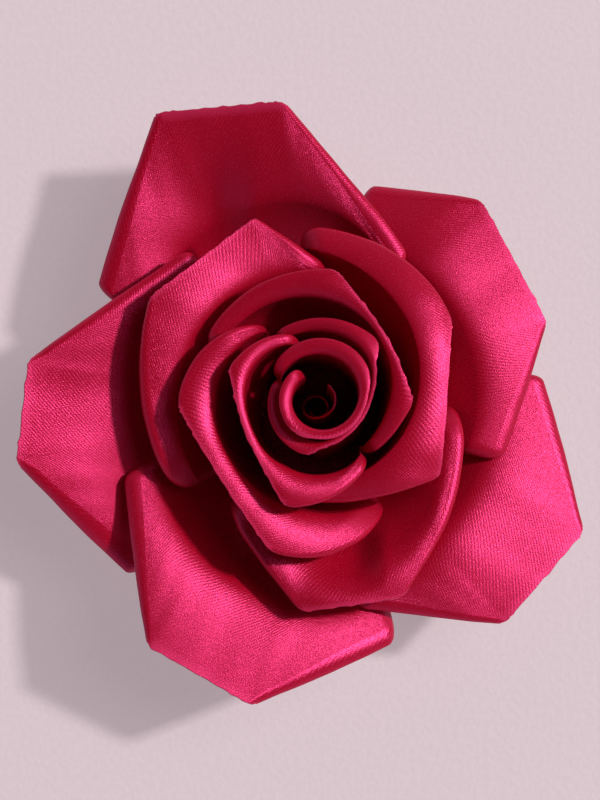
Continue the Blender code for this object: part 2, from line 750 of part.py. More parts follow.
def spring_points():
    """Return the spring's centre line: lower leg, curls round the rivet, upper leg."""
    x, z = PIN_CENTRE.x, PIN_CENTRE.z
    slope = math.tan(math.radians(HANDLE_RISE_DEG))
    lower_z = STRIP + SEAT + SPRING_WIRE / 2
    upper_z = UPPER_Z - SEAT - SPRING_WIRE / 2
    leg_x = x + HANDLE_START + SPRING_LEG
    curls = SPRING_TURNS + 0.5
    half = curls * SPRING_PITCH / 2
    points = [Vector((leg_x, -half, lower_z))]
    count = round(curls * SPRING_POINTS)
    for i in range(count + 1):
        turn = curls * i / count
        angle = -math.pi / 2 - math.tau * turn
        points.append(Vector((
            x + SPRING_RADIUS * math.cos(angle),
            -half + SPRING_PITCH * turn,
            z + SPRING_RADIUS * math.sin(angle),
        )))
    return points + [
        Vector((x + HANDLE_START, half, upper_z)),
        Vector((leg_x, half, upper_z + SPRING_LEG * slope)),
    ]


def least_gap(points, wire):
    """Return the least gap of a wound wire to itself, measured on its centre points."""
    near = SPRING_POINTS // 2
    pairs = (
        (points[i] - points[j]).length
        for i in range(len(points))
        for j in range(i + near, len(points))
    )
    return min(pairs) - wire


def build_spring(material, collection):
    """Make the torsion spring as one unbroken tube."""
    points = spring_points()
    print(f"torsion_spring least gap to itself: {least_gap(points, SPRING_WIRE) / MM:.2f} mm")
    curve = bpy.data.curves.new("torsion_spring", "CURVE")
    curve.dimensions = "3D"
    curve.bevel_depth = SPRING_WIRE / 2
    curve.bevel_resolution = 1
    curve.use_fill_caps = True
    spline = curve.splines.new("POLY")
    spline.points.add(len(points) - 1)
    for point, place_at in zip(spline.points, points):
        point.co = (*place_at, 1.0)
    obj = bpy.data.objects.new("torsion_spring", curve)
    curve.materials.append(material)
    collection.objects.link(obj)
    return obj


def build_glue(material, collection):
    """Make the glue that holds the felt on the upper arm."""
    width = UPPER_WIDTH + 2 * GLUE_OVERHANG
    outline = rounded_rectangle(-GLUE_LENGTH / 2, GLUE_LENGTH / 2, width, width / 2 - SEAT)
    mesh = extruded("glue_pad", outline, GLUE_THICKNESS)
    mesh.transform(Matrix.Translation((0.0, 0.0, GLUE_Z + GLUE_THICKNESS / 2)))
    return place("glue_pad", mesh, material, collection)


def main():
    """Build the whole clip."""
    clear_scene()
    parts = new_collection("flower_hair_clip")
    cutters = new_collection("cutters")
    fabric, metal = satin(), steel()

    build_core(fabric, parts)
    for petal in PETALS:
        build_petal(petal, fabric, parts)
    build_base(buckram(), parts)
    disc("backing_felt", FELT_RADIUS, FELT_Z, FELT_THICKNESS, felt(), parts)
    build_glue(hot_glue(), parts)

    hinge = bpy.data.objects.new("jaw_hinge", None)
    hinge.location = PIN_CENTRE
    parts.objects.link(hinge)
    build_upper_arm(metal, parts, cutters)
    build_lower_jaw(metal, parts, cutters, hinge)
    build_pin(metal, parts)
    build_spring(metal, parts)


if __name__ == "__main__":
    main()
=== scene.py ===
"""Looks of the flower hair clip: a satin rose of rolled-corner petals on a sprung steel clip.

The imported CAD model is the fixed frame. Lengths are in metres unless a name says otherwise.
The flower opens along +Z, and the clip lies along X with its handles at +X.
"""

import logging
import math
from dataclasses import dataclass
from enum import Enum

import bmesh
import bpy
import numpy as np
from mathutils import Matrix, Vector


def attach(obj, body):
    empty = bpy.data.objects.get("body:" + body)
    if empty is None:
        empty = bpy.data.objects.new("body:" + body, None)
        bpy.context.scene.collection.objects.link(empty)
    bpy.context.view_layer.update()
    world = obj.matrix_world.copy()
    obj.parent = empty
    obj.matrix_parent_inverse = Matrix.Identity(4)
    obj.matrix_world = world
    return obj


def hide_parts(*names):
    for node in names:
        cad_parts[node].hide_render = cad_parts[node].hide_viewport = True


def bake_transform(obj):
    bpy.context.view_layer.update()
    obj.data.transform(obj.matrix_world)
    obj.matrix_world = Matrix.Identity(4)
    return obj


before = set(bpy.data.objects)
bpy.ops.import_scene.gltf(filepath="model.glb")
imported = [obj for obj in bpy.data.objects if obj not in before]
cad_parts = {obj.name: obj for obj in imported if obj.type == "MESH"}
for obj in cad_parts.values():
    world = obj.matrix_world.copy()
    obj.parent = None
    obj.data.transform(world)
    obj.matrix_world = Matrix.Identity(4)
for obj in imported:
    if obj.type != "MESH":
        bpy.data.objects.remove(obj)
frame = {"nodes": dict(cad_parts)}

LOG = logging.getLogger("flower_hair_clip")
MM = 0.001
RIM_MIDDLE = 1.5
OUTER_BOWS = (0.1, 0.0, 0.1)
Colour = tuple[float, float, float]
Place = tuple[float, float, float]
Pair = tuple[float, float]


class Body(Enum):
    """CAD bodies that the pieces ride on."""

    FLOWER = "flower"
    JAW = "lower_jaw"


class Slot(Enum):
    """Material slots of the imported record."""

    SATIN = "satin"
    BUCKRAM = "buckram"
    FELT = "felt"
    GLUE = "hot_glue"
    STEEL = "steel"


class Hold(Enum):
    """How a sheet of cloth is held."""

    FOLDED = "folded"
    LAID = "laid"


def smoothstep(low: float, high: float, value: np.ndarray | float) -> np.ndarray:
    """Rise smoothly from 0 to 1.

    Args:
        low: value up to which the result is 0.
        high: value from which the result is 1.
        value: one value or an array of them.

    Returns:
        The risen value or values.
    """
    t = np.clip((np.asarray(value, float) - low) / (high - low), 0.0, 1.0)
    return t * t * (3.0 - 2.0 * t)


def rounded(
    first: np.ndarray, corner: np.ndarray, last: np.ndarray, t: np.ndarray | float,
) -> np.ndarray:
    """Round a corner.

    Args:
        first: where the rounding starts.
        corner: the corner itself.
        last: where the rounding ends.
        t: share of the way, one or an array of them.

    Returns:
        The place or places on the rounding.
    """
    return (1 - t) ** 2 * first + 2 * t * (1 - t) * corner + t * t * last


def linked(name: str, data: bpy.types.ID) -> bpy.types.Object:
    """Make an object and link it to the scene.

    Args:
        name: the object's name.
        data: its mesh, lamp or camera.

    Returns:
        The new object.
    """
    made = bpy.data.objects.new(name, data)
    bpy.context.scene.collection.objects.link(made)
    return made


class ShaderBench:
    """A material's node tree, with short ways to add nodes and join them."""

    def __init__(self, name: str) -> None:
        """Start a Principled material.

        Args:
            name: the material's name.
        """
        self.material = bpy.data.materials.new(name)
        self.material.use_nodes = True
        self.tree = self.material.node_tree
        self.shader = self.tree.nodes["Principled BSDF"]

    def node(self, kind: str, **settings: object) -> bpy.types.Node:
        """Add a node.

        Args:
            kind: Blender's type name of the node.
            settings: properties to set on it.

        Returns:
            The new node.
        """
        made = self.tree.nodes.new(kind)
        for key, value in settings.items():
            setattr(made, key, value)
        return made

    def feed(self, socket: bpy.types.NodeSocket, source: object) -> None:
        """Give an input a constant or join it to an output.

        Args:
            socket: the input.
            source: an output socket, or a value.
        """
        if isinstance(source, bpy.types.NodeSocket):
            self.tree.links.new(source, socket)
        else:
            socket.default_value = source

    def set(self, **values: object) -> None:
        """Set inputs of the shader, named with underscores for spaces.

        Args:
            values: constants or output sockets.
        """
        for key, value in values.items():
            self.feed(self.shader.inputs[key.replace("_", " ")], value)

    def math(self, operation: str, *values: object) -> bpy.types.NodeSocket:
        """Add a math node.

        Args:
            operation: Blender's name of the operation.
            values: its inputs, constants or outputs.

        Returns:
            The result's output socket.
        """
        made = self.node("ShaderNodeMath", operation=operation)
        for socket, value in zip(made.inputs, values):
            self.feed(socket, value)
        return made.outputs[0]

    def blend(self, share: object, first: object, second: object) -> bpy.types.NodeSocket:
        """Mix two colours.

        Args:
            share: how much of the second colour there is.
            first: RGB triple or output socket.
            second: RGB triple or output socket.

        Returns:
            The mixed colour's output socket.
        """
        # The node's inputs 6 and 7 and its output 2 are the ones for colours.
        made = self.node("ShaderNodeMix", data_type="RGBA")
        self.feed(made.inputs[0], share)
        for socket, value in ((made.inputs[6], first), (made.inputs[7], second)):
            self.feed(socket, value if isinstance(value, bpy.types.NodeSocket) else (*value, 1.0))
        return made.outputs[2]

    def attribute(self, name: str) -> bpy.types.Node:
        """Read a mesh attribute.

        Args:
            name: the attribute's name.

        Returns:
            The attribute node.
        """
        return self.node("ShaderNodeAttribute", attribute_name=name)

    def stretched(self, vector: bpy.types.NodeSocket, scale: Place) -> bpy.types.NodeSocket:
        """Scale coordinates along each axis.

        Args:
            vector: the coordinates.
            scale: factors along x, y and z.

        Returns:
            The scaled coordinates' output socket.
        """
        made = self.node("ShaderNodeVectorMath", operation="MULTIPLY")
        self.feed(made.inputs[0], vector)
        made.inputs[1].default_value = scale
        return made.outputs[0]

    def place(self) -> bpy.types.NodeSocket:
        """Return the socket of the place on the object, in metres."""
        return self.node("ShaderNodeTexCoord").outputs["Object"]

    def axes(self, vector: bpy.types.NodeSocket) -> bpy.types.bpy_prop_collection:
        """Take a vector apart.

        Args:
            vector: its socket.

        Returns:
            The sockets of its x, y and z.
        """
        made = self.node("ShaderNodeSeparateXYZ")
        self.feed(made.inputs[0], vector)
        return made.outputs

    def ripple(self, phase: bpy.types.NodeSocket) -> bpy.types.NodeSocket:
        """Return the socket of a sine wave from 0 to 1."""
        return self.math("MULTIPLY_ADD", self.math("SINE", phase), 0.5, 0.5)

    def weighted(self, first: bpy.types.NodeSocket, share: float,
                 second: bpy.types.NodeSocket, other_share: float) -> bpy.types.NodeSocket:
        """Add two values by their shares.

        Args:
            first: the first value.
            share: its share.
            second: the second value.
            other_share: the second value's share.

        Returns:
            The sum's socket.
        """
        return self.math("MULTIPLY_ADD", first, share, self.math("MULTIPLY", second, other_share))

    def noise(self, vector: bpy.types.NodeSocket, scale: float, detail: float) -> bpy.types.NodeSocket:
        """Add a noise texture.

        Args:
            vector: its coordinates.
            scale: cells in a metre.
            detail: octaves.

        Returns:
            The noise's value socket.
        """
        made = self.node("ShaderNodeTexNoise")
        self.feed(made.inputs["Vector"], vector)
        made.inputs["Scale"].default_value = scale
        made.inputs["Detail"].default_value = detail
        return made.outputs[0]

    def remap(self, value: bpy.types.NodeSocket, low: float, high: float,
              to_low: float = 0.0, to_high: float = 1.0) -> bpy.types.NodeSocket:
        """Map a range smoothly onto another one.

        Args:
            value: the value to map.
            low: start of its range.
            high: end of its range.
            to_low: result at low and below.
            to_high: result at high and above.

        Returns:
            The mapped value's socket.
        """
        made = self.node("ShaderNodeMapRange", interpolation_type="SMOOTHSTEP")
        for key, item in (("Value", value), ("From Min", low), ("From Max", high),
                          ("To Min", to_low), ("To Max", to_high)):
            self.feed(made.inputs[key], item)
        return made.outputs[0]

    def seen(self) -> bpy.types.NodeSocket:
        """Tell the camera's own looks from the light that falls.

        Returns:
            A socket that is 1 where the camera looks, straight, mirrored or through glass.
        """
        path = self.node("ShaderNodeLightPath").outputs
        straight = self.math("MAXIMUM", path["Is Camera Ray"], path["Is Glossy Ray"])
        return self.math("MAXIMUM", straight, path["Is Transmission Ray"])

    def bump(self, height: bpy.types.NodeSocket, depth: float, strength: float) -> None:
        """Emboss the shader.

        Args:
            height: height from 0 to 1.
            depth: what a height of 1 stands for, in metres.
            strength: share of the effect.
        """
        made = self.node("ShaderNodeBump")
        made.inputs["Distance"].default_value = depth
        made.inputs["Strength"].default_value = strength
        self.feed(made.inputs["Height"], height)
        self.feed(self.shader.inputs["Normal"], made.outputs[0])


@dataclass(frozen=True)
class SatinFinish:
    """Crimson satin: fine diagonal ribs, a pink shine along the folds, and painted highlights in its
    colour: glint specks on the threads and a lighter band along cut edges.
    """

    name: str = "crimson_satin"
    deep: Colour = (0.30, 0.0008, 0.009)
    mid: Colour = (0.56, 0.0034, 0.026)
    # Painted highlight: the pale pink of thread glints, painted into the base colour.
    painted_glint: Colour = (0.92, 0.08, 0.27)
    # Painted highlight: a lighter colour painted along the cut edges, as if they caught the light.
    cut: Colour = (0.66, 0.03, 0.11)
    shine: Colour = (1.0, 0.075, 0.295)
    roughness: float = 0.34
    rough_spread: float = 0.14
    anisotropy: float = 0.45
    ior: float = 2.1
    specular: float = 0.75
    rib_pitch: float = 0.50 * MM
    rib_tone: float = 0.32
    rib_relief: float = 0.40
    drift_ribs: float = 9.0
    drift_phase: float = 2.5
    thread: float = 0.20 * MM
    thread_range: Pair = (0.25, 0.75)
    thread_tone: float = 0.36
    thread_relief: float = 0.72
    cloud_size: float = 14.0 * MM
    cloud_tone: float = 0.24
    # Painted highlight: size, range and share of the glint specks painted into the colour.
    painted_glint_threads: float = 0.9
    painted_glint_range: Pair = (0.71, 0.80)
    painted_glint_share: float = 0.55
    # Painted highlight: how much of the cut-edge highlight colour is painted in.
    cut_highlight_share: float = 0.7
    relief: float = 0.034 * MM
    relief_strength: float = 0.8

    def material(self) -> bpy.types.Material:
        """Make the material.

        Returns:
            The satin, which reads the cloth, warp and cut attributes of a cloth mesh.
        """
        bench = ShaderBench(self.name)
        cloth = bench.attribute("cloth").outputs["Vector"]
        parts = bench.axes(cloth)
        drift = bench.noise(cloth, 1 / (self.drift_ribs * self.rib_pitch), detail=1.0)
        diagonal = bench.math("SUBTRACT", parts[0], parts[1])
        phase = bench.math("MULTIPLY", diagonal, math.tau / (self.rib_pitch * math.sqrt(2)))
        phase = bench.math("ADD", phase, bench.math("MULTIPLY", drift, self.drift_phase))
        ribs = bench.ripple(phase)
        grain = bench.remap(bench.noise(cloth, 1 / self.thread, detail=1.0), *self.thread_range)
        cloud = bench.noise(cloth, 1 / self.cloud_size, detail=3.0)
        # Painted highlight: random specks where the glint colour is painted into the base colour.
        painted_glints = bench.noise(cloth, 1 / (self.painted_glint_threads * self.thread), detail=0.0)
        painted_glints = bench.remap(painted_glints, *self.painted_glint_range)

        tone = bench.weighted(ribs, self.rib_tone, grain, self.thread_tone)
        tone = bench.math("MULTIPLY_ADD", cloud, self.cloud_tone, tone)
        colour = bench.blend(tone, self.deep, self.mid)
        colour = bench.blend(bench.math("MULTIPLY", painted_glints, self.painted_glint_share), colour, self.painted_glint)
        # Painted highlight: a thin band along each cut edge is painted lighter.
        cut = bench.attribute("cut").outputs["Fac"]
        colour = bench.blend(bench.math("MULTIPLY", cut, self.cut_highlight_share), colour, self.cut)
        roughest = self.roughness + self.rough_spread / 2
        rough = bench.math("MULTIPLY_ADD", grain, -self.rough_spread, roughest)
        bench.set(
            Base_Color=colour, Roughness=rough, Anisotropic=self.anisotropy, IOR=self.ior,
            Specular_IOR_Level=self.specular, Specular_Tint=(*self.shine, 1.0),
            Tangent=bench.attribute("warp").outputs["Vector"],
        )
        height = bench.weighted(ribs, self.rib_relief, grain, self.thread_relief)
        bench.bump(height, self.relief, self.relief_strength)
        return bench.material


@dataclass(frozen=True)
class FeltFinish:
    """Dark red felt: matted fibres, no gloss."""

    name: str = "dark_red_felt"
    deep: Colour = (0.085, 0.003, 0.010)
    pale: Colour = (0.24, 0.012, 0.034)
    sheen_tint: Colour = (0.75, 0.16, 0.22)
    sheen: float = 0.35
    sheen_roughness: float = 0.6
    roughness: float = 0.95
    specular: float = 0.15
    fibres_per_metre: float = 5200.0
    fibre_stretch: float = 0.35
    fibre_range: Pair = (0.42, 0.68)
    mottles_per_metre: float = 420.0
    mottle_range: Pair = (0.2, 0.7)
    mottle_least: float = 0.55
    relief: float = 0.25 * MM
    relief_strength: float = 0.7

    def material(self) -> bpy.types.Material:
        """Make the material.

        Returns:
            The felt.
        """
        bench = ShaderBench(self.name)
        place = bench.place()
        fibres, crossed = (
            bench.noise(bench.stretched(place, stretch), self.fibres_per_metre, detail=3.0)
            for stretch in ((1.0, self.fibre_stretch, 1.0), (self.fibre_stretch, 1.0, 1.0))
        )
        matted = bench.math("MAXIMUM", fibres, crossed)
        mottle = bench.noise(place, self.mottles_per_metre, detail=2.0)
        tone = bench.math(
            "MULTIPLY", bench.remap(matted, *self.fibre_range),
            bench.remap(mottle, *self.mottle_range, to_low=self.mottle_least),
        )
        bench.set(
            Base_Color=bench.blend(tone, self.deep, self.pale), Roughness=self.roughness,
            Specular_IOR_Level=self.specular, Sheen_Weight=self.sheen,
            Sheen_Roughness=self.sheen_roughness, Sheen_Tint=(*self.sheen_tint, 1.0),
        )
        bench.bump(matted, self.relief, self.relief_strength)
        return bench.material


@dataclass(frozen=True)
class BuckramFinish:
    """Stiff crimson buckram: a plain open weave, sized with starch."""

    name: str = "crimson_buckram"
    deep: Colour = (0.13, 0.002, 0.012)
    pale: Colour = (0.34, 0.010, 0.040)
    roughness: float = 0.82
    specular: float = 0.3
    pitch: float = 0.8 * MM
    weave_tone: float = 0.65
    wobbles_per_metre: float = 300.0
    wobble_phase: float = 3.0
    fuzz_per_metre: float = 4000.0
    fuzz_tone: float = 0.35
    relief: float = 0.15 * MM
    relief_strength: float = 0.7

    def material(self) -> bpy.types.Material:
        """Make the material.

        Returns:
            The buckram.
        """
        bench = ShaderBench(self.name)
        place = bench.place()
        parts = bench.axes(place)
        drift = bench.noise(place, self.wobbles_per_metre, detail=1.0)
        wobble = bench.math("MULTIPLY", drift, self.wobble_phase)
        threads = [
            bench.ripple(bench.math("MULTIPLY_ADD", parts[axis], math.tau / self.pitch, wobble))
            for axis in (0, 1)
        ]
        weave = bench.math("MAXIMUM", *threads)
        fuzz = bench.noise(place, self.fuzz_per_metre, detail=2.0)
        tone = bench.weighted(fuzz, self.fuzz_tone, weave, self.weave_tone)
        bench.set(
            Base_Color=bench.blend(tone, self.deep, self.pale), Roughness=self.roughness,
            Specular_IOR_Level=self.specular,
        )
        bench.bump(weave, self.relief, self.relief_strength)
        return bench.material


@dataclass(frozen=True)
class GlueFinish:
    """Set hot-melt glue: milky, glossy, slightly rippled."""

    name: str = "milky_glue"
    pale: Colour = (0.80, 0.76, 0.66)
    clear: Colour = (0.62, 0.56, 0.45)
    roughness: float = 0.16
    rough_spread: float = 0.2
    ior: float = 1.48
    clouds_per_metre: float = 260.0
    cloud_range: Pair = (0.3, 0.7)
    ripples_per_metre: float = 700.0
    relief: float = 0.3 * MM
    relief_strength: float = 0.35

    def material(self) -> bpy.types.Material:
        """Make the material.

        Returns:
            The glue.
        """
        bench = ShaderBench(self.name)
        place = bench.place()
        cloud = bench.noise(place, self.clouds_per_metre, detail=3.0)
        ripple = bench.noise(place, self.ripples_per_metre, detail=2.0)
        bench.set(
            Base_Color=bench.blend(bench.remap(cloud, *self.cloud_range), self.clear, self.pale),
            Roughness=bench.math("MULTIPLY_ADD", cloud, self.rough_spread, self.roughness),
            IOR=self.ior,
        )
        bench.bump(ripple, self.relief, self.relief_strength)
        return bench.material


@dataclass(frozen=True)
class SteelFinish:
    """Bright plated steel: drawn lines, fine scratches and duller wear.

    The lines run along the axis on which their stretch is small.
    """

    name: str
    stretch: Place
    bright: Colour = (0.70, 0.70, 0.71)
    dull: Colour = (0.46, 0.455, 0.45)
    roughness: float = 0.24
    lines_per_metre: float = 9000.0
    wear_per_metre: float = 350.0
    wear_rough: float = 0.22
    tone_range: Pair = (0.3, 0.7)
    scratches_per_metre: float = 5200.0
    scratch_stretch: Place = (0.03, 1.0, 0.6)
    scratch_range: Pair = (0.66, 0.72)
    scratch_rough: float = 0.12
    relief: float = 0.02 * MM
    relief_strength: float = 0.3

    def material(self) -> bpy.types.Material:
        """Make the material.

        Returns:
            The steel.
        """
        bench = ShaderBench(self.name)
        place = bench.place()
        drawn = bench.noise(bench.stretched(place, self.stretch), self.lines_per_metre, detail=2.0)
        wear = bench.noise(place, self.wear_per_metre, detail=4.0)
        scratch = bench.stretched(place, self.scratch_stretch)
        scratch = bench.noise(scratch, self.scratches_per_metre, detail=0.0)
        scratch = bench.remap(scratch, *self.scratch_range)
        tone = bench.weighted(drawn, 0.5, wear, 0.5)
        smoothest = self.roughness - self.wear_rough / 2
        rough = bench.math("MULTIPLY_ADD", wear, self.wear_rough, smoothest)
        rough = bench.math("MULTIPLY_ADD", scratch, self.scratch_rough, rough)
        bench.set(
            Base_Color=bench.blend(bench.remap(tone, *self.tone_range), self.dull, self.bright),
            Metallic=1.0, Roughness=rough,
        )
        bench.bump(bench.math("SUBTRACT", drawn, scratch), self.relief, self.relief_strength)
        return bench.material


@dataclass(frozen=True)
class PlasterFinish:
    """Pale plaster of the floor, faintly pink, with a fine trowelled grain."""

    name: str = "pale_plaster"
    pale: Colour = (0.42, 0.355, 0.38)
    glow: Colour = (0.345, 0.285, 0.31)
    shade: float = 0.955
    roughness: float = 0.9
    specular: float = 0.2
    grains_per_metre: float = 900.0
    grain_range: Pair = (0.35, 0.65)
    relief: float = 0.5 * MM
    relief_strength: float = 0.25

    def material(self) -> bpy.types.Material:
        """Make the material.

        Returns:
            The plaster.
        """
        bench = ShaderBench(self.name)
        grain = bench.noise(bench.place(), self.grains_per_metre, detail=3.0)
        shaded = tuple(self.shade * part for part in self.pale)
        bench.set(
            Base_Color=bench.blend(bench.remap(grain, *self.grain_range), shaded, self.pale),
            Roughness=self.roughness, Specular_IOR_Level=self.specular,
            Emission_Color=(*self.glow, 1.0), Emission_Strength=bench.seen(),
        )
        bench.bump(grain, self.relief, self.relief_strength)
        return bench.material


class ClothMesh:
    """A sheet of cloth with thickness, made from a grid of points on its face side."""

    edge_bulge: float = 0.35

    def __init__(self, face: np.ndarray, thickness: float) -> None:
        """Take the grid.

        Args:
            face: points, columns by rows by 3, whose normals (along-columns x along-rows) show.
            thickness: of the cloth.
        """
        self.face = face
        self.thickness = thickness
        self.columns, self.rows = face.shape[:2]
        across = np.gradient(face, axis=0)
        up = np.gradient(face, axis=1)
        normals = np.cross(across, up)
        self.normals = normals / np.linalg.norm(normals, axis=2, keepdims=True)
        self.across = across / np.linalg.norm(across, axis=2, keepdims=True)
        self.up = up / np.linalg.norm(up, axis=2, keepdims=True)

    def border(self) -> list[tuple[int, int]]:
        """Go once round the grid.

        Returns:
            Its border places (column, row).
        """
        c, r = self.columns - 1, self.rows - 1
        return (
            [(i, 0) for i in range(c)] + [(c, j) for j in range(r)]
            + [(i, r) for i in range(c, 0, -1)] + [(0, j) for j in range(r, 0, -1)]
        )

    def lengths(self) -> tuple[np.ndarray, np.ndarray]:
        """Measure the cloth.

        Returns:
            Lengths across each row from its middle column, and up each column from its foot.
        """
        steps = np.linalg.norm(np.diff(self.face, axis=0), axis=2)
        across = np.vstack((np.zeros((1, self.rows)), np.cumsum(steps, axis=0)))
        across -= across[self.columns // 2]
        steps = np.linalg.norm(np.diff(self.face, axis=1), axis=2)
        up = np.hstack((np.zeros((self.columns, 1)), np.cumsum(steps, axis=1)))
        return across, up

    def piece(self, name: str, cut: np.ndarray) -> bpy.types.Object:
        """Make the cloth's object, with a rounded edge all round.

        Args:
            name: the piece's name.
            cut: how near each grid place is to a cut edge, from 0 to 1.

        Returns:
            The new object, linked to the scene.
        """
        back = self.face - self.normals * self.thickness
        count = self.columns * self.rows
        index = np.arange(count).reshape(self.columns, self.rows)
        border = self.border()
        inner = [(min(max(i, 1), self.columns - 2), min(max(j, 1), self.rows - 2)) for i, j in border]
        outward = np.array([self.face[b] - self.face[n] for b, n in zip(border, inner)])
        outward /= np.linalg.norm(outward, axis=1, keepdims=True)
        middle = np.array([(self.face[b] + back[b]) / 2 for b in border])
        middle += outward * self.thickness * self.edge_bulge
        points = np.vstack((self.face.reshape(-1, 3), back.reshape(-1, 3), middle))
        corners = (index[:-1, :-1], index[1:, :-1], index[1:, 1:], index[:-1, 1:])
        quads = np.stack(corners, axis=2).reshape(-1, 4)
        faces = quads.tolist() + (quads[:, ::-1] + count).tolist()
        ring = [int(index[b]) for b in border]
        for k, near in enumerate(ring):
            after = (k + 1) % len(ring)
            far, here, there = ring[after], 2 * count + k, 2 * count + after
            faces.append((far, near, here, there))
            faces.append((there, here, near + count, far + count))
        mesh = bpy.data.meshes.new(name)
        mesh.from_pydata(points.tolist(), [], faces)
        mesh.polygons.foreach_set("use_smooth", np.ones(len(faces), bool))
        self.crease(mesh, ring, count)
        across, up = self.lengths()
        cloth = np.stack((across, up, np.zeros_like(up)), axis=2).reshape(-1, 3)
        warp = ((self.across + self.up) / math.sqrt(2)).reshape(-1, 3)
        self.write(mesh, "cloth", cloth, ring)
        self.write(mesh, "warp", warp, ring)
        # The cut attribute is the mask of the painted cut-edge highlight.
        self.write(mesh, "cut", cut.reshape(-1, 1), ring)
        mesh.update()
        return linked(name, mesh)

    @staticmethod
    def crease(mesh: bpy.types.Mesh, ring: list[int], count: int) -> None:
        """Keep the shading of face and back apart from the edge's.

        Args:
            mesh: the cloth's mesh.
            ring: grid places of the edge points.
            count: number of grid places.
        """
        pairs = {tuple(sorted((a, b))) for a, b in zip(ring, ring[1:] + ring[:1])}
        for edge in mesh.edges:
            first, second = sorted(edge.vertices)
            if (first, second) in pairs or (first - count, second - count) in pairs:
                edge.use_edge_sharp = True

    @staticmethod
    def write(mesh: bpy.types.Mesh, name: str, values: np.ndarray, ring: list[int]) -> None:
        """Write a point attribute to face, back and edge.

        Args:
            mesh: the cloth's mesh.
            name: the attribute's name.
            values: one row for each grid place, of one or three numbers.
            ring: grid places of the edge points.
        """
        kind, key = ("FLOAT", "value") if values.shape[1] == 1 else ("FLOAT_VECTOR", "vector")
        made = mesh.attributes.new(name, kind, "POINT")
        written = np.vstack((values, values, values[ring])).astype(np.float32)
        made.data.foreach_set(key, written.ravel())


class RingMesh:
    """A closed body skinned over rings of points, with a point that closes each end."""

    def __init__(self) -> None:
        """Start without any body."""
        self.bm = bmesh.new()

    def add(self, rings: np.ndarray) -> None:
        """Add one body.

        Args:
            rings: points, rings by sides by 3.
        """
        sides = rings.shape[1]
        grid = [[self.bm.verts.new(point) for point in ring] for ring in rings.tolist()]
        for near, far in zip(grid, grid[1:]):
            for j in range(sides):
                k = (j + 1) % sides
                self.bm.faces.new((near[j], near[k], far[k], far[j]))
        for ring, points in ((grid[0], rings[0]), (grid[-1], rings[-1])):
            tip = self.bm.verts.new(points.mean(axis=0).tolist())
            for j in range(sides):
                self.bm.faces.new((ring[j], ring[(j + 1) % sides], tip))

    def add_tube(self, line: np.ndarray, radii: np.ndarray, sides: int) -> None:
        """Add a round tube along a line.

        Args:
            line: its centre points.
            radii: of the tube at each of them.
            sides: points round the tube.
        """
        heading = np.gradient(line, axis=0)
        heading /= np.linalg.norm(heading, axis=1, keepdims=True)
        first = np.cross(heading[0], np.eye(3)[np.argmin(np.abs(heading[0]))])
        rings = []
        for place, along, radius in zip(line, heading, radii):
            first = first - along * first.dot(along)
            first /= np.linalg.norm(first)
            second = np.cross(along, first)
            turn = np.linspace(0.0, math.tau, sides, endpoint=False)[:, None]
            rings.append(place + radius * (np.cos(turn) * first + np.sin(turn) * second))
        self.add(np.array(rings))

    def piece(self, name: str, finish: bpy.types.Material) -> bpy.types.Object:
        """Make the object.

        Args:
            name: the piece's name.
            finish: its material.

        Returns:
            The new object, linked to the scene.
        """
        bmesh.ops.recalc_face_normals(self.bm, faces=self.bm.faces)
        for face in self.bm.faces:
            face.smooth = True
        mesh = bpy.data.meshes.new(name)
        self.bm.to_mesh(mesh)
        self.bm.free()
        mesh.materials.append(finish)
        return linked(name, mesh)


@dataclass(frozen=True)
class Lip:
    """How a petal turns over at the top: directions from straight up, lengths in metres."""

    foot_deg: float
    tucked_deg: float
    crest_deg: float
    drop_share: float
    cut_deg: float
    rim_deg: float
    roll_radius: float
    roll_end_deg: float
    tip: float
    dive: float
    wave: float
    square: float


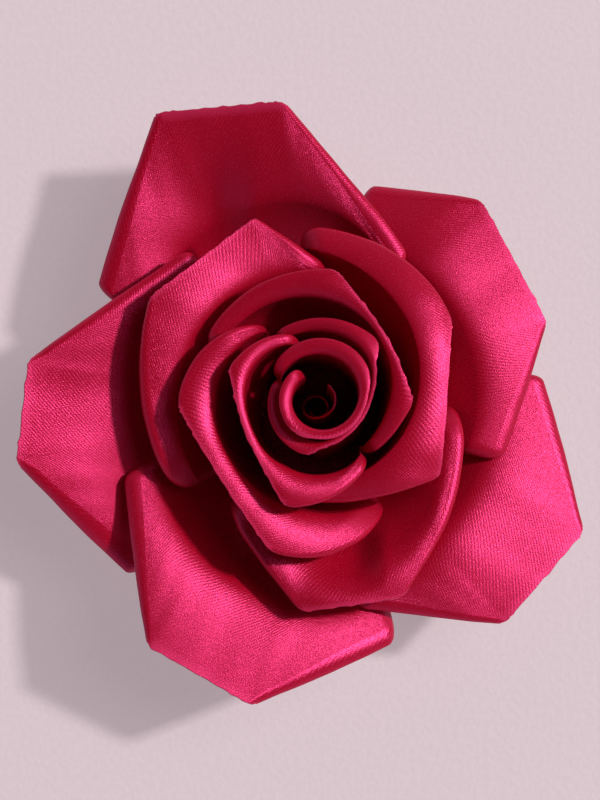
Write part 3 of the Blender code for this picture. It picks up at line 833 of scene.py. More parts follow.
class LipStyle(Enum):
    """The lips of the rose's petals, from the bud outwards."""

    BUD = Lip(
        foot_deg=2.0, tucked_deg=2.0, crest_deg=0.0, drop_share=0.42,
        cut_deg=102.0, rim_deg=116.0, roll_radius=0.8 * MM, roll_end_deg=170.0,
        tip=2.2 * MM, dive=3.0 * MM, wave=0.02 * MM, square=40.0 * MM,
    )
    INNER = Lip(
        foot_deg=3.0, tucked_deg=3.0, crest_deg=1.0, drop_share=0.40,
        cut_deg=100.0, rim_deg=114.0, roll_radius=1.1 * MM, roll_end_deg=178.0,
        tip=2.8 * MM, dive=4.0 * MM, wave=0.04 * MM, square=40.0 * MM,
    )
    MIDDLE = Lip(
        foot_deg=14.0, tucked_deg=14.0, crest_deg=6.0, drop_share=0.36,
        cut_deg=95.0, rim_deg=104.0, roll_radius=1.2 * MM, roll_end_deg=185.0,
        tip=9.0 * MM, dive=5.0 * MM, wave=0.06 * MM, square=40.0 * MM,
    )
    ARCHED = Lip(
        foot_deg=14.0, tucked_deg=14.0, crest_deg=6.0, drop_share=-0.14,
        cut_deg=120.0, rim_deg=120.0, roll_radius=1.2 * MM, roll_end_deg=185.0,
        tip=4.0 * MM, dive=5.0 * MM, wave=0.06 * MM, square=40.0 * MM,
    )
    BROAD = Lip(
        foot_deg=26.0, tucked_deg=26.0, crest_deg=24.0, drop_share=0.30,
        cut_deg=84.0, rim_deg=92.0, roll_radius=1.5 * MM, roll_end_deg=190.0,
        tip=9.0 * MM, dive=5.0 * MM, wave=0.06 * MM, square=40.0 * MM,
    )
    HOLLOW = Lip(
        foot_deg=31.0, tucked_deg=38.0, crest_deg=56.0, drop_share=0.16,
        cut_deg=102.0, rim_deg=109.0, roll_radius=1.5 * MM, roll_end_deg=190.0,
        tip=8.0 * MM, dive=5.0 * MM, wave=0.06 * MM, square=40.0 * MM,
    )
    OUTER = Lip(
        foot_deg=82.0, tucked_deg=22.0, crest_deg=38.0, drop_share=0.24,
        cut_deg=84.0, rim_deg=96.0, roll_radius=3.4 * MM, roll_end_deg=150.0,
        tip=3.0 * MM, dive=2.0 * MM, wave=0.05 * MM, square=45.0 * MM,
    )
    RISING = Lip(
        foot_deg=82.0, tucked_deg=22.0, crest_deg=64.0, drop_share=0.35,
        cut_deg=73.0, rim_deg=88.0, roll_radius=3.4 * MM, roll_end_deg=150.0,
        tip=3.0 * MM, dive=2.0 * MM, wave=0.05 * MM, square=45.0 * MM,
    )
    DROOPED = Lip(
        foot_deg=82.0, tucked_deg=22.0, crest_deg=58.0, drop_share=-0.10,
        cut_deg=99.0, rim_deg=108.0, roll_radius=3.4 * MM, roll_end_deg=150.0,
        tip=3.0 * MM, dive=2.0 * MM, wave=0.05 * MM, square=45.0 * MM,
    )


@dataclass(frozen=True)
class Pleat:
    """A valley in a petal, along a line seen from above, with a width of its own on each side.

    Opening and closing say where along the line the valley deepens and flattens out.
    """

    start: Pair
    end: Pair
    depth: float
    left: float
    right: float
    opening: Pair = (-0.45, 0.1)
    closing: Pair = (1.25, 0.4)

    def sink(self, points: np.ndarray) -> np.ndarray:
        """Return how far points sink into the valley.

        Args:
            points: any array of places, in metres.

        Returns:
            The depths there.
        """
        start, end = np.array(self.start), np.array(self.end)
        length = float(np.linalg.norm(end - start))
        way = (end - start) / length
        offset = points[..., :2] - start
        along = offset @ way / length
        aside = offset @ np.array((way[1], -way[0]))
        left, right = smoothstep(0.0, self.left, -aside), smoothstep(0.0, self.right, aside)
        deep = self.depth * (1 - np.where(aside < 0, left, right))
        return deep * smoothstep(*self.opening, along) * smoothstep(*self.closing, along)


@dataclass
class SatinPetal:
    """A satin square with its two upper corners rolled back.

    The rim runs clockwise through four places (azimuth in degrees, radius and height above the
    foot in millimetres): folded edge, cut edge, folded edge. The bows say how round each of the
    three edges is, from 0 for straight to 1 for round the axis. The mouth gives radii in
    millimetres at which the wall turns over into the lip, at equal steps from end to end.
    Places along the rim count from 0 to 3, one for each edge.
    """

    name: str
    layer: float
    rim: tuple[Place, Place, Place, Place]
    bows: tuple[float, float, float]
    mouth: tuple[float, ...]
    style: LipStyle
    seed: int
    pleat: Pleat | None = None
    foot_z: float = 10.0 * MM
    sheet: float = 0.32 * MM
    layer_step: float = 0.87 * MM
    layers_per_turn: float = 5.0
    core_radius: float = 3.2 * MM
    wall_pull: float = 0.42
    lip_pull: float = 0.55
    smoothing: float = 0.07
    even_steps: int = 240
    tuck_range: Pair = (0.40, 0.72)
    droop_places: tuple[float, float, float] = (0.3, RIM_MIDDLE, 2.7)
    cut_roll_share: float = 0.03
    corner_roll_share: float = 0.6
    corner_reach: float = 0.6
    roll_ease: float = 1.7
    crest_ease: float = 1.5
    least_tip: float = 0.2
    least_lip: float = 0.5 * MM
    least_rise: float = 0.15
    beyond_rolls: float = 4.0
    corner_round: float = 1.4 * MM
    wave_lengths: tuple[float, ...] = (23.0 * MM, 13.0 * MM, 7.0 * MM)
    wave_turns: tuple[float, ...] = (2.0, -3.0, 4.0)
    wave_range: Pair = (0.3, 0.9)
    cut_end: float = 0.05
    # Painted highlight: the band below a cut edge that is painted lighter.
    cut_highlight_range: Pair = (0.15 * MM, 0.55 * MM)
    fray: float = 0.14 * MM
    column_step: float = 0.65 * MM
    least_columns: int = 24
    corner_crowding: float = 0.75
    wall_rows: int = 18
    lip_rows: int = 16
    sweep_detail: int = 4
    roll_rows: int = 10

    def edge_place(self, edge: int, t: float) -> np.ndarray:
        """Find a place on one rim edge.

        Args:
            edge: 0 to 2.
            t: share of the edge.

        Returns:
            Azimuth in degrees, radius and height in millimetres.
        """
        angle_a, radius_a, height_a = self.rim[edge]
        angle_b, radius_b, height_b = self.rim[edge + 1]
        span = math.radians(angle_b - angle_a)
        chord = math.sin(span) / (math.sin(span * (1 - t)) / radius_a + math.sin(span * t) / radius_b)
        arc = radius_a + (radius_b - radius_a) * t
        return np.array((
            angle_a + (angle_b - angle_a) * t,
            chord + (arc - chord) * self.bows[edge],
            height_a + (height_b - height_a) * t,
        ))

    def edge_length(self, edge: int) -> float:
        """Measure a rim edge.

        Args:
            edge: 0 to 2.

        Returns:
            Its straight length in metres.
        """
        ends = [
            np.array((r * math.cos(math.radians(a)), r * math.sin(math.radians(a)), h))
            for a, r, h in self.rim[edge:edge + 2]
        ]
        return float(np.linalg.norm(ends[1] - ends[0])) * MM

    def corner_shares(self) -> list[float]:
        """Return, for each rim edge, the share of its length that rounds a corner."""
        return [self.corner_round / self.edge_length(edge) for edge in range(3)]

    def rim_place(self, along: float) -> tuple[float, float]:
        """Find a place on the rim, with its corners rounded.

        Args:
            along: place along the rim.

        Returns:
            Azimuth in radians and radius in metres.
        """
        shares = self.corner_shares()
        edge = min(2, int(along))
        place = self.edge_place(edge, along - edge)
        for corner in (1, 2):
            before, after = shares[corner - 1], shares[corner]
            if corner - before < along < corner + after:
                first = self.edge_place(corner - 1, 1 - before)
                last = self.edge_place(corner, after)
                t = (along - corner + before) / (before + after)
                place = rounded(first, np.array(self.rim[corner]), last, t)
        return math.radians(place[0]), place[1] * MM

    def roll_share(self, along: float) -> float:
        """Tell how much of the roll there is: all on folded edges, little on the cut edge.

        Args:
            along: place along the rim.

        Returns:
            The share of the roll.
        """
        shares = self.corner_shares()
        fold = 1 - smoothstep(1 - shares[0], 1 + shares[1], along)
        fold += smoothstep(2 - shares[1], 2 + shares[2], along)
        return float(self.cut_roll_share + (1 - self.cut_roll_share) * fold)

    def droop_share(self, along: float) -> float:
        """Return how much the rim droops: all along the folds, none in the middle of the cut edge."""
        start, middle, end = self.droop_places
        return float(1 - smoothstep(start, middle, along) + smoothstep(middle, end, along))

    def tip_share(self, along: float) -> float:
        """Round the petal's two ends.

        Args:
            along: place along the rim.

        Returns:
            1 along the rim, falling to 0 at its ends.
        """
        edge = 0 if along < RIM_MIDDLE else 2
        left = min(along, 3.0 - along) * self.edge_length(edge)
        short = max(0.0, 1.0 - left / self.style.value.tip)
        return math.sqrt(max(0.0, 1.0 - short * short))

    def fold_share(self, along: float) -> float:
        """Return the share of the roll's radius: small at a corner, full along a fold."""
        full = smoothstep(0.0, self.corner_reach, min(abs(along - 1.0), abs(along - 2.0)))
        return float(self.corner_roll_share + (1 - self.corner_roll_share) * full)

    def mouth_radius(self, azimuth: float) -> float:
        """Find where the wall turns over into the lip.

        Args:
            azimuth: in radians.

        Returns:
            The radius there, in metres.
        """
        count = len(self.mouth)
        curve = np.polyfit(np.linspace(0.0, 1.0, count), self.mouth, count - 1)
        return float(np.polyval(curve, self.span_share(azimuth))) * MM

    def even_rim(self) -> tuple[np.ndarray, np.ndarray, np.ndarray]:
        """Lay an even curve along the rim, without its corners.

        Returns:
            Shares of the span, and the curve's radii and heights there, in metres.
        """
        count, padding = self.even_steps, self.even_steps // 3
        shares = np.linspace(0.0, 1.0, count + 1)
        corners = [self.span_share(math.radians(place[0])) for place in self.rim]
        rim = np.array([
            self.edge_place(edge, t) for edge, t in (
                (edge, (share - corners[edge]) / (corners[edge + 1] - corners[edge]))
                for share in shares
                for edge in [min(2, int(np.searchsorted(corners[1:], share)))]
            )
        ])
        reach = np.arange(-padding, padding + 1) / count
        weights = np.exp(-0.5 * (reach / self.smoothing) ** 2)
        weights = weights / weights.sum()
        padded = np.pad(rim, ((padding, padding), (0, 0)), mode="reflect", reflect_type="odd")
        radii, heights = (np.convolve(padded[:, k], weights, "valid") for k in (1, 2))
        return shares, radii * MM, heights * MM

    def rolled(self, radius: float, first: float, angle: float) -> np.ndarray:
        """Roll the cloth outwards, gently at first.

        Args:
            radius: of the roll at its mean bend.
            first: direction at the start, from straight up.
            angle: how far it turns.

        Returns:
            The (radius, height) points reached, counted from the start.
        """
        rows = self.roll_rows
        t = (np.arange(rows) + 0.5) / rows
        heading = first + angle * t ** self.roll_ease
        steps = np.stack((np.sin(heading), np.cos(heading)), axis=1) * radius * angle / rows
        return np.cumsum(steps, axis=0)

    def span_share(self, azimuth: float) -> float:
        """Return how far an azimuth is from the rim's first end to its last, 0 to 1."""
        first, last = math.radians(self.rim[0][0]), math.radians(self.rim[3][0])
        return (azimuth - first) / (last - first)

    def foot_lean(self, azimuth: float) -> float:
        """Find the foot's direction, steeper where it lies over the next petal.

        Args:
            azimuth: in radians.

        Returns:
            The direction from straight up, in radians.
        """
        lip = self.style.value
        over = float(smoothstep(*self.tuck_range, self.span_share(azimuth)))
        return math.radians(lip.foot_deg + (lip.tucked_deg - lip.foot_deg) * over)

    def foot_radius(self, azimuth: float) -> float:
        """Find the foot, which winds outwards with the azimuth.

        Args:
            azimuth: in radians.

        Returns:
            The foot's radius in metres.
        """
        middle = math.radians(self.rim[1][0] + self.rim[2][0]) / 2
        layer = self.layer + self.layers_per_turn * (azimuth - middle) / math.tau
        return self.core_radius + self.layer_step * (layer + 1)

    def profile(
        self, along: float, even: tuple[np.ndarray, np.ndarray, np.ndarray],
    ) -> tuple[float, np.ndarray]:
        """Lay the cloth from foot to rolled edge at one place of the rim.

        Args:
            along: place along the rim.
            even: the even curve along the rim, which keeps creases out of the lip.

        Returns:
            The azimuth, and (radius, height) points.
        """
        lip, tip = self.style.value, self.tip_share(along)
        azimuth, out_radius = self.rim_place(along)
        even_radius, height = (np.interp(self.span_share(azimuth), even[0], row) for row in even[1:])
        height -= (1 - tip) * lip.dive
        folded = self.roll_share(along)
        roll_radius = lip.roll_radius * self.fold_share(along) * max(tip, self.least_tip)
        lean = math.radians(lip.crest_deg)
        crown = math.radians(lip.cut_deg + (lip.rim_deg - lip.cut_deg) * self.droop_share(along))
        mouth = self.soft_below(self.mouth_radius(azimuth), even_radius - lip.roll_radius / 2)
        width = even_radius - mouth
        crest = np.array((mouth, height - lip.drop_share * width))
        roll_angle = (math.radians(lip.roll_end_deg) - crown) * folded
        reach = float(self.rolled(roll_radius, crown, roll_angle)[:, 0].max())
        out_radius = -self.soft_below(reach - out_radius, -mouth)
        out_radius = mouth + self.least_lip + (out_radius - mouth - self.least_lip) * tip
        rise = max(lip.drop_share, self.least_rise)
        pulls = (self.lip_pull * rise * width / math.cos(lean), self.lip_pull * width)
        lip_end = np.array((even_radius, height))
        turning = self.swept(crest, lean, lip_end, crown, pulls, self.sweep_detail * self.lip_rows)
        onward = np.array((math.sin(crown), math.cos(crown)))
        beyond = lip_end + lip.roll_radius * self.beyond_rolls * onward
        turning, end_lean = self.cut_at(np.vstack((turning, beyond)), out_radius)
        foot_lean = self.foot_lean(azimuth)
        foot = np.array((self.foot_radius(azimuth), self.sheet * math.sin(foot_lean)))
        pull = self.wall_pull * float(np.linalg.norm(crest - foot))
        rising = self.swept(foot, foot_lean, crest, lean, (pull, pull), self.wall_rows)
        rolling = turning[-1] + self.rolled(roll_radius, end_lean, roll_angle)
        return azimuth, np.vstack((rising, turning[1:], rolling))

    def soft_below(self, value: float, limit: float) -> float:
        """Bring a radius softly to at least one least lip below a limit."""
        soft = self.least_lip
        return limit - soft - math.log1p(math.exp((limit - value - soft) / soft)) * soft

    def cut_at(self, curve: np.ndarray, radius: float) -> tuple[np.ndarray, float]:
        """Cut a curve that runs outwards where it comes to a radius.

        Args:
            curve: its (radius, height) points.
            radius: where to cut.

        Returns:
            The lip's points up to the cut, closer together at the crest, and the direction there.
        """
        steps = np.linalg.norm(np.diff(curve, axis=0), axis=1)
        lengths = np.concatenate(([0.0], np.cumsum(steps)))
        end = float(np.interp(radius, curve[:, 0], lengths))
        at = end * np.linspace(0.0, 1.0, self.lip_rows + 1) ** self.crest_ease
        points = np.stack([np.interp(at, lengths, curve[:, k]) for k in (0, 1)], axis=1)
        step = points[-1] - points[-2]
        return points, math.atan2(step[0], step[1])

    @staticmethod
    def swept(
        start: np.ndarray, first: float, end: np.ndarray, last: float, pulls: Pair, rows: int,
    ) -> np.ndarray:
        """Lay a smooth curve between two places.

        Args:
            start: (radius, height) where it starts.
            first: direction there, from straight up.
            end: (radius, height) where it ends.
            last: direction there.
            pulls: how far the curve is drawn along the two directions.
            rows: number of steps.

        Returns:
            The points of the curve.
        """
        p1 = start + pulls[0] * np.array((math.sin(first), math.cos(first)))
        p2 = end - pulls[1] * np.array((math.sin(last), math.cos(last)))
        t = np.linspace(0.0, 1.0, rows + 1)[:, None]
        s = 1 - t
        return s ** 3 * start + 3 * s ** 2 * t * p1 + 3 * s * t * t * p2 + t ** 3 * end

    def places(self) -> np.ndarray:
        """Space the mesh's columns, closer together at the corners.

        Returns:
            The places along the rim at which there is a column.
        """
        stops = [np.array([0.0])]
        for edge in range(3):
            steps = max(self.least_columns, round(self.edge_length(edge) / self.column_step))
            share = np.arange(1, steps + 1) / steps
            stops.append(edge + share - np.sin(math.tau * share) / math.tau * self.corner_crowding)
        return np.concatenate(stops)

    def build(self, finish: bpy.types.Material) -> bpy.types.Object:
        """Make the petal.

        Args:
            finish: its satin.

        Returns:
            The petal, which stands for its CAD node.
        """
        places = self.places()
        grid, even = [], self.even_rim()
        for along in places:
            azimuth, points = self.profile(float(along), even)
            radius, height = points.T
            place = (radius * math.cos(azimuth), radius * math.sin(azimuth), height + self.foot_z)
            grid.append(np.stack(place, axis=1))
        face = np.array(grid)
        if self.pleat:
            face[:, :, 2] -= self.pleat.sink(face)
        cloth = ClothMesh(face, self.sheet)
        across, up = cloth.lengths()
        draw = np.random.default_rng(self.seed)
        phases = draw.uniform(0.0, math.tau, len(self.wave_lengths))
        share = up / up[:, -1:]
        wave = sum(
            np.sin(math.tau * across / length + turn * share + phase) / (k + 1)
            for k, (length, turn, phase) in enumerate(zip(self.wave_lengths, self.wave_turns, phases))
        )
        wave *= self.style.value.wave * smoothstep(*self.wave_range, share)
        past_cut = np.abs(places - RIM_MIDDLE) - 0.5
        on_cut = (1 - smoothstep(0.0, self.cut_end, past_cut))[:, None]
        frayed = np.abs(draw.normal(0.0, self.fray, (len(places), 1)))
        face += cloth.normals * wave[:, :, None]
        face[:, -1] += cloth.up[:, -1] * on_cut * frayed
        cloth = ClothMesh(face, self.sheet)
        # Mask of the painted highlight: a thin band below the cut edge.
        cut = on_cut * (1 - smoothstep(*self.cut_highlight_range, up[:, -1:] - up))
        made = cloth.piece(self.name + "_satin", cut)
        made.data.materials.append(finish)
        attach(made, Body.FLOWER.value)
        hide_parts(self.name)
        return made


@dataclass
class Rose:
    """The satin rose: a rolled core and thirteen petals wound round it."""

    core_height: float = 26.0 * MM
    core_start_deg: float = 58.0
    core_length: float = 24.0 * MM
    core_cut: float = 0.66
    core_sink: float = 0.6
    core_sink_turns: Pair = (0.25, 0.8)
    core_turns: float = 1.6
    core_pitch: float = 1.15 * MM
    core_points: int = 110
    core_rows: int = 26

    @staticmethod
    def petals() -> list[SatinPetal]:
        """Lay out the petals, each with its layer, rim, bows, mouth and lip.

        Returns:
            The petals, from the bud outwards.
        """
        bud, inner, middle, arched, broad, hollow, outer, rising, drooped = LipStyle
        rows = (
            ("bud_petal", 2.6,
             ((151, 8.7, 29), (17, 9.1, 33), (-131, 7.2, 33), (-240, 6.0, 32)),
             (1.23, 0.85, 0.9), (7.6, 7.4, 6.3, 4.8, 4.3), bud),
            ("inner_petal_1", 5.0,
             ((124, 13.5, 26), (42, 14.2, 32), (-100, 10.0, 31), (-208, 7.6, 29)),
             (1.0, 0.5, 1.0), (12.2, 10.8, 8.7, 6.8, 6.9), bud),
            ("inner_petal_2", 7.3,
             ((310, 13.0, 28), (253, 19.3, 31), (161, 16.1, 31), (107, 11.0, 29)),
             (1.1, 0.2, 1.0), (11.9, 12.8, 12.7, 12.3, 9.9), inner),
            ("inner_petal_3", 8.0,
             ((153, 21.8, 24), (82, 22.4, 30), (-2, 16.2, 30), (-47, 12.4, 25)),
             (1.0, 0.25, 0.6), (19.0, 17.2, 13.3, 11.0), inner),
            ("middle_petal_1", 9.2,
             ((303, 22.5, 19), (253, 27.1, 27), (182, 23.9, 27), (125, 16.4, 27)),
             (1.4, 0.1, 1.3), (20.0, 18.4, 17.5, 15.3), middle),
            ("middle_petal_2", 10.4,
             ((96, 31.1, 20), (32, 27.2, 26), (-32, 24.7, 26), (-98, 17.0, 22)),
             (1.0, 0.0, 0.4), (27.5, 16.8, 14.2), arched),
            ("middle_petal_3", 10.2,
             ((213, 29.3, 19), (149, 34.1, 25), (108, 34.1, 21.5), (85, 23.6, 21)),
             (0.7, 0.0, 0.0), (24.4, 24.0, 22.8), broad),
            ("middle_petal_4", 11.1,
             ((361, 24.8, 17), (294, 36.5, 20), (265, 36.1, 20), (228, 23.5, 19)),
             (0.6, 0.0, 0.2), (21.2, 24.5, 28.0, 24.2, 21.5), hollow),
            ("outer_petal_1", 13.9,
             ((153, 44.0, 12), (119, 59.1, 16), (96, 53.5, 19), (58, 30.3, 18)),
             OUTER_BOWS, (32.0, 37.0, 25.0), outer),
            ("outer_petal_2", 13.9,
             ((79, 41.0, 9), (52, 47.0, 13), (20, 43.1, 13.5), (-17.5, 33.6, 14)),
             OUTER_BOWS, (31.0, 29.0, 27.0), drooped),
            ("outer_petal_3", 13.85,
             ((10.5, 40.2, 9), (-24.5, 51.8, 9.5), (-49.5, 50.1, 12), (-79, 35.5, 12)),
             OUTER_BOWS, (31.0, 30.5, 33.0), drooped),
            ("outer_petal_4", 13.8,
             ((290, 43.1, 9.5), (258, 53.2, 17), (234.5, 50.9, 19), (198.5, 35.4, 15)),
             OUTER_BOWS, (35.0, 33.5, 29.5), outer),
            ("outer_petal_5", 14.0,
             ((223.5, 44.1, 8), (191.5, 53.0, 19.5), (171, 50.5, 20.5), (128.5, 35.0, 16.5)),
             OUTER_BOWS, (32.0, 33.5, 31.0), rising),
        )
        pleats = {
            "outer_petal_1": Pleat(
                start=(-19.6 * MM, 27.0 * MM), end=(-18.6 * MM, 47.0 * MM),
                depth=2.8 * MM, left=16.0 * MM, right=9.0 * MM,
            ),
            "middle_petal_4": Pleat(
                start=(6.3 * MM, -23.0 * MM), end=(5.8 * MM, -32.0 * MM),
                depth=3.0 * MM, left=6.0 * MM, right=13.0 * MM,
            ),
        }
        return [
            SatinPetal(*row, seed=number, pleat=pleats.get(row[0]))
            for number, row in enumerate(rows)
        ]

    def build_core(self, finish: bpy.types.Material) -> bpy.types.Object:
        """Make the rolled strip in the middle of the bud.

        Args:
            finish: its satin.

        Returns:
            The core, which stands for its CAD node.
        """
        petal = self.petals()[0]
        turn = np.linspace(0.0, self.core_turns, self.core_points)
        radius = petal.core_radius - petal.sheet / 2 - self.core_pitch * turn
        azimuth = math.radians(self.core_start_deg) - math.tau * turn
        x, y = (
            np.repeat((radius * wave(azimuth))[:, None], self.core_rows, 1) for wave in (np.cos, np.sin)
        )
        heights = np.linspace(0.0, self.core_height, self.core_rows)
        sunk = 1 - self.core_sink * smoothstep(*self.core_sink_turns, turn)
        face = np.stack((x, y, heights[None, :] * sunk[:, None] + petal.foot_z), axis=2)
        cut = np.zeros((self.core_points, self.core_rows))
        made = ClothMesh(face, petal.sheet).piece("bud_core_satin", cut)
        made.data.materials.append(finish)
        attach(made, Body.FLOWER.value)
        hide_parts("bud_core")
        return made

    def build(self) -> list[bpy.types.Object]:
        """Make the core and all the petals.

        Returns:
            The rose's pieces.
        """
        satin = SatinFinish().material()
        made = [self.build_core(satin)]
        made += [petal.build(satin) for petal in self.petals()]
        return made


@dataclass
class FlowerBack:
    """What holds the rose: a buckram disc, a felt backing and the glue on the clip.

    Periods say how many waves there are round an outline, since the pieces are cut by hand.
    """

    base_radius: float = 18.1 * MM
    base_span: Pair = (8.6 * MM, 9.65 * MM)
    base_edge: float = 0.25 * MM
    base_wave: float = 0.12 * MM
    base_periods: tuple[int, ...] = (5, 9, 23, 37)
    felt_radius: float = 21.7 * MM
    felt_span: Pair = (7.0 * MM, 8.6 * MM)
    felt_edge: float = 0.55 * MM
    felt_wave: float = 0.3 * MM
    felt_periods: tuple[int, ...] = (2, 3, 7, 19, 31)
    felt_hairs: int = 620
    hair_length: float = 0.9 * MM
    hair_shortest: float = 0.3
    hair_radius: float = 0.022 * MM
    hair_taper: float = 0.5
    hair_points: int = 5
    hair_sides: int = 3
    hair_root: float = 0.12 * MM
    hair_margin: float = 0.25 * MM
    hair_shift: float = 0.4
    hair_out: Pair = (0.1, 0.5)
    hair_spread: float = 0.7
    hair_straight: float = 0.45
    hair_curl: float = 0.6
    glue_half: Pair = (16.6 * MM, 6.2 * MM)
    glue_power: float = 3.2
    glue_span: Pair = (5.9 * MM, 7.05 * MM)
    glue_edge: float = 0.5 * MM
    glue_wave: float = 0.55 * MM
    glue_periods: tuple[int, ...] = (3, 5, 8, 13)
    arm_half: float = 5.05 * MM
    sag: float = 0.45 * MM
    sag_wave: float = 0.5
    sag_periods: tuple[int, ...] = (4, 7, 11)
    sag_top: float = 0.4 * MM
    sag_beside: Pair = (0.05 * MM, 0.7 * MM)
    insets: tuple[float, ...] = (1.0, 0.75, 0.5, 0.25, 0.1)
    edge_points: int = 5
    least_reach: float = 0.3 * MM
    sides: int = 180
    seed: int = 41

    def turns(self) -> np.ndarray:
        """Return the angles of an outline's points."""
        return np.linspace(0.0, math.tau, self.sides, endpoint=False)

    def wavy(self, periods: tuple[int, ...], seed: int) -> np.ndarray:
        """Make a closed wave round the axis.

        Args:
            periods: numbers of waves that are added up.
            seed: of their phases.

        Returns:
            The wave at each side, about -1 to 1.
        """
        turn = self.turns()
        phases = np.random.default_rng(seed).uniform(0.0, math.tau, len(periods))
        return sum(np.sin(n * turn + phase) for n, phase in zip(periods, phases)) / len(periods)

    def disc_rings(self, radii: np.ndarray, span: Pair, edge: float) -> np.ndarray:
        """Lay rings over a flat disc with rounded edges.

        Args:
            radii: of the outline, one for each side.
            span: lowest and highest level.
            edge: radius of the rounding.

        Returns:
            Points, rings by sides by 3.
        """
        turn = self.turns()
        bend = np.linspace(0.0, math.pi / 2, self.edge_points)
        inset = [*(np.array(self.insets) * radii.mean())]
        path = [(part, span[0]) for part in inset]
        path += [(edge * (1 - math.sin(a)), span[0] + edge * (1 - math.cos(a))) for a in bend]
        path += [(edge * (1 - math.sin(a)), span[1] - edge * (1 - math.cos(a))) for a in bend[::-1]]
        path += [(part, span[1]) for part in inset[::-1]]
        rings = []
        for part, level in path:
            reach = np.maximum(radii - part, self.least_reach)
            ring = (reach * np.cos(turn), reach * np.sin(turn), np.full(self.sides, level))
            rings.append(np.stack(ring, axis=1))
        return np.array(rings)

    def build_base(self) -> bpy.types.Object:
        """Make the stiff disc that the petals are glued on.

        Returns:
            The buckram disc, which stands for its CAD node.
        """
        radii = self.base_radius + self.base_wave * self.wavy(self.base_periods, self.seed)
        mesh = RingMesh()
        mesh.add(self.disc_rings(radii, self.base_span, self.base_edge))
        made = mesh.piece("buckram_disc", BuckramFinish().material())
        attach(made, Body.FLOWER.value)
        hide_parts("petal_base")
        return made

    def build_felt(self) -> bpy.types.Object:
        """Make the felt, cut by hand, with fibres that stand off its edge.

        Returns:
            The felt, which stands for its CAD node.
        """
        radii = self.felt_radius + self.felt_wave * self.wavy(self.felt_periods, self.seed + 1)
        mesh = RingMesh()
        mesh.add(self.disc_rings(radii, self.felt_span, self.felt_edge))
        low, high = self.felt_span[0] + self.hair_margin, self.felt_span[1] - self.hair_margin
        share = np.linspace(0.0, 1.0, self.hair_points)[:, None]
        thins = self.hair_radius * np.linspace(1.0, self.hair_taper, self.hair_points)
        draw = np.random.default_rng(self.seed + 2)
        for _ in range(self.felt_hairs):
            side = int(draw.integers(self.sides))
            shift = draw.uniform(-self.hair_shift, self.hair_shift)
            turn = math.tau * (side + shift) / self.sides
            outward = np.array((math.cos(turn), math.sin(turn), 0.0))
            root = outward * (radii[side] - self.hair_root)
            root[2] = draw.uniform(low, high)
            lean = outward * draw.uniform(*self.hair_out) + draw.normal(0.0, self.hair_spread, 3)
            lean /= np.linalg.norm(lean)
            reach = share * self.hair_length * draw.uniform(self.hair_shortest, 1.0)
            curl = reach ** 2 / self.hair_length * lean * self.hair_curl
            mesh.add_tube(root + reach * outward * self.hair_straight + curl, thins, self.hair_sides)
        made = mesh.piece("felt_backing", FeltFinish().material())
        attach(made, Body.FLOWER.value)
        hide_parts("backing_felt")
        return made

    def build_glue(self) -> bpy.types.Object:
        """Make the glue, squeezed out past the clip's sides and sagging over them.

        Returns:
            The glue, which stands for its CAD node.
        """
        turn = self.turns()
        shape = [
            np.abs(wave(turn) / half) ** self.glue_power
            for wave, half in zip((np.cos, np.sin), self.glue_half)
        ]
        radii = (shape[0] + shape[1]) ** (-1 / self.glue_power)
        radii += self.glue_wave * self.wavy(self.glue_periods, self.seed + 3)
        rings = self.disc_rings(radii, self.glue_span, self.glue_edge)
        below = rings[:, :, 2] < self.glue_span[1] - self.sag_top
        start, end = (self.arm_half + aside for aside in self.sag_beside)
        beside = smoothstep(start, end, np.abs(rings[:, :, 1]))
        sag = self.sag * (1 + self.sag_wave * self.wavy(self.sag_periods, self.seed + 4))
        rings[:, :, 2] -= np.where(below, beside * sag, 0.0)
        mesh = RingMesh()
        mesh.add(rings)
        made = mesh.piece("glue_bed", GlueFinish().material())
        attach(made, Body.FLOWER.value)
        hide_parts("glue_pad")
        return made

    def build(self) -> list[bpy.types.Object]:
        """Make the rose's back.

        Returns:
            Its pieces, from the clip upwards.
        """
        return [self.build_glue(), self.build_felt(), self.build_base()]


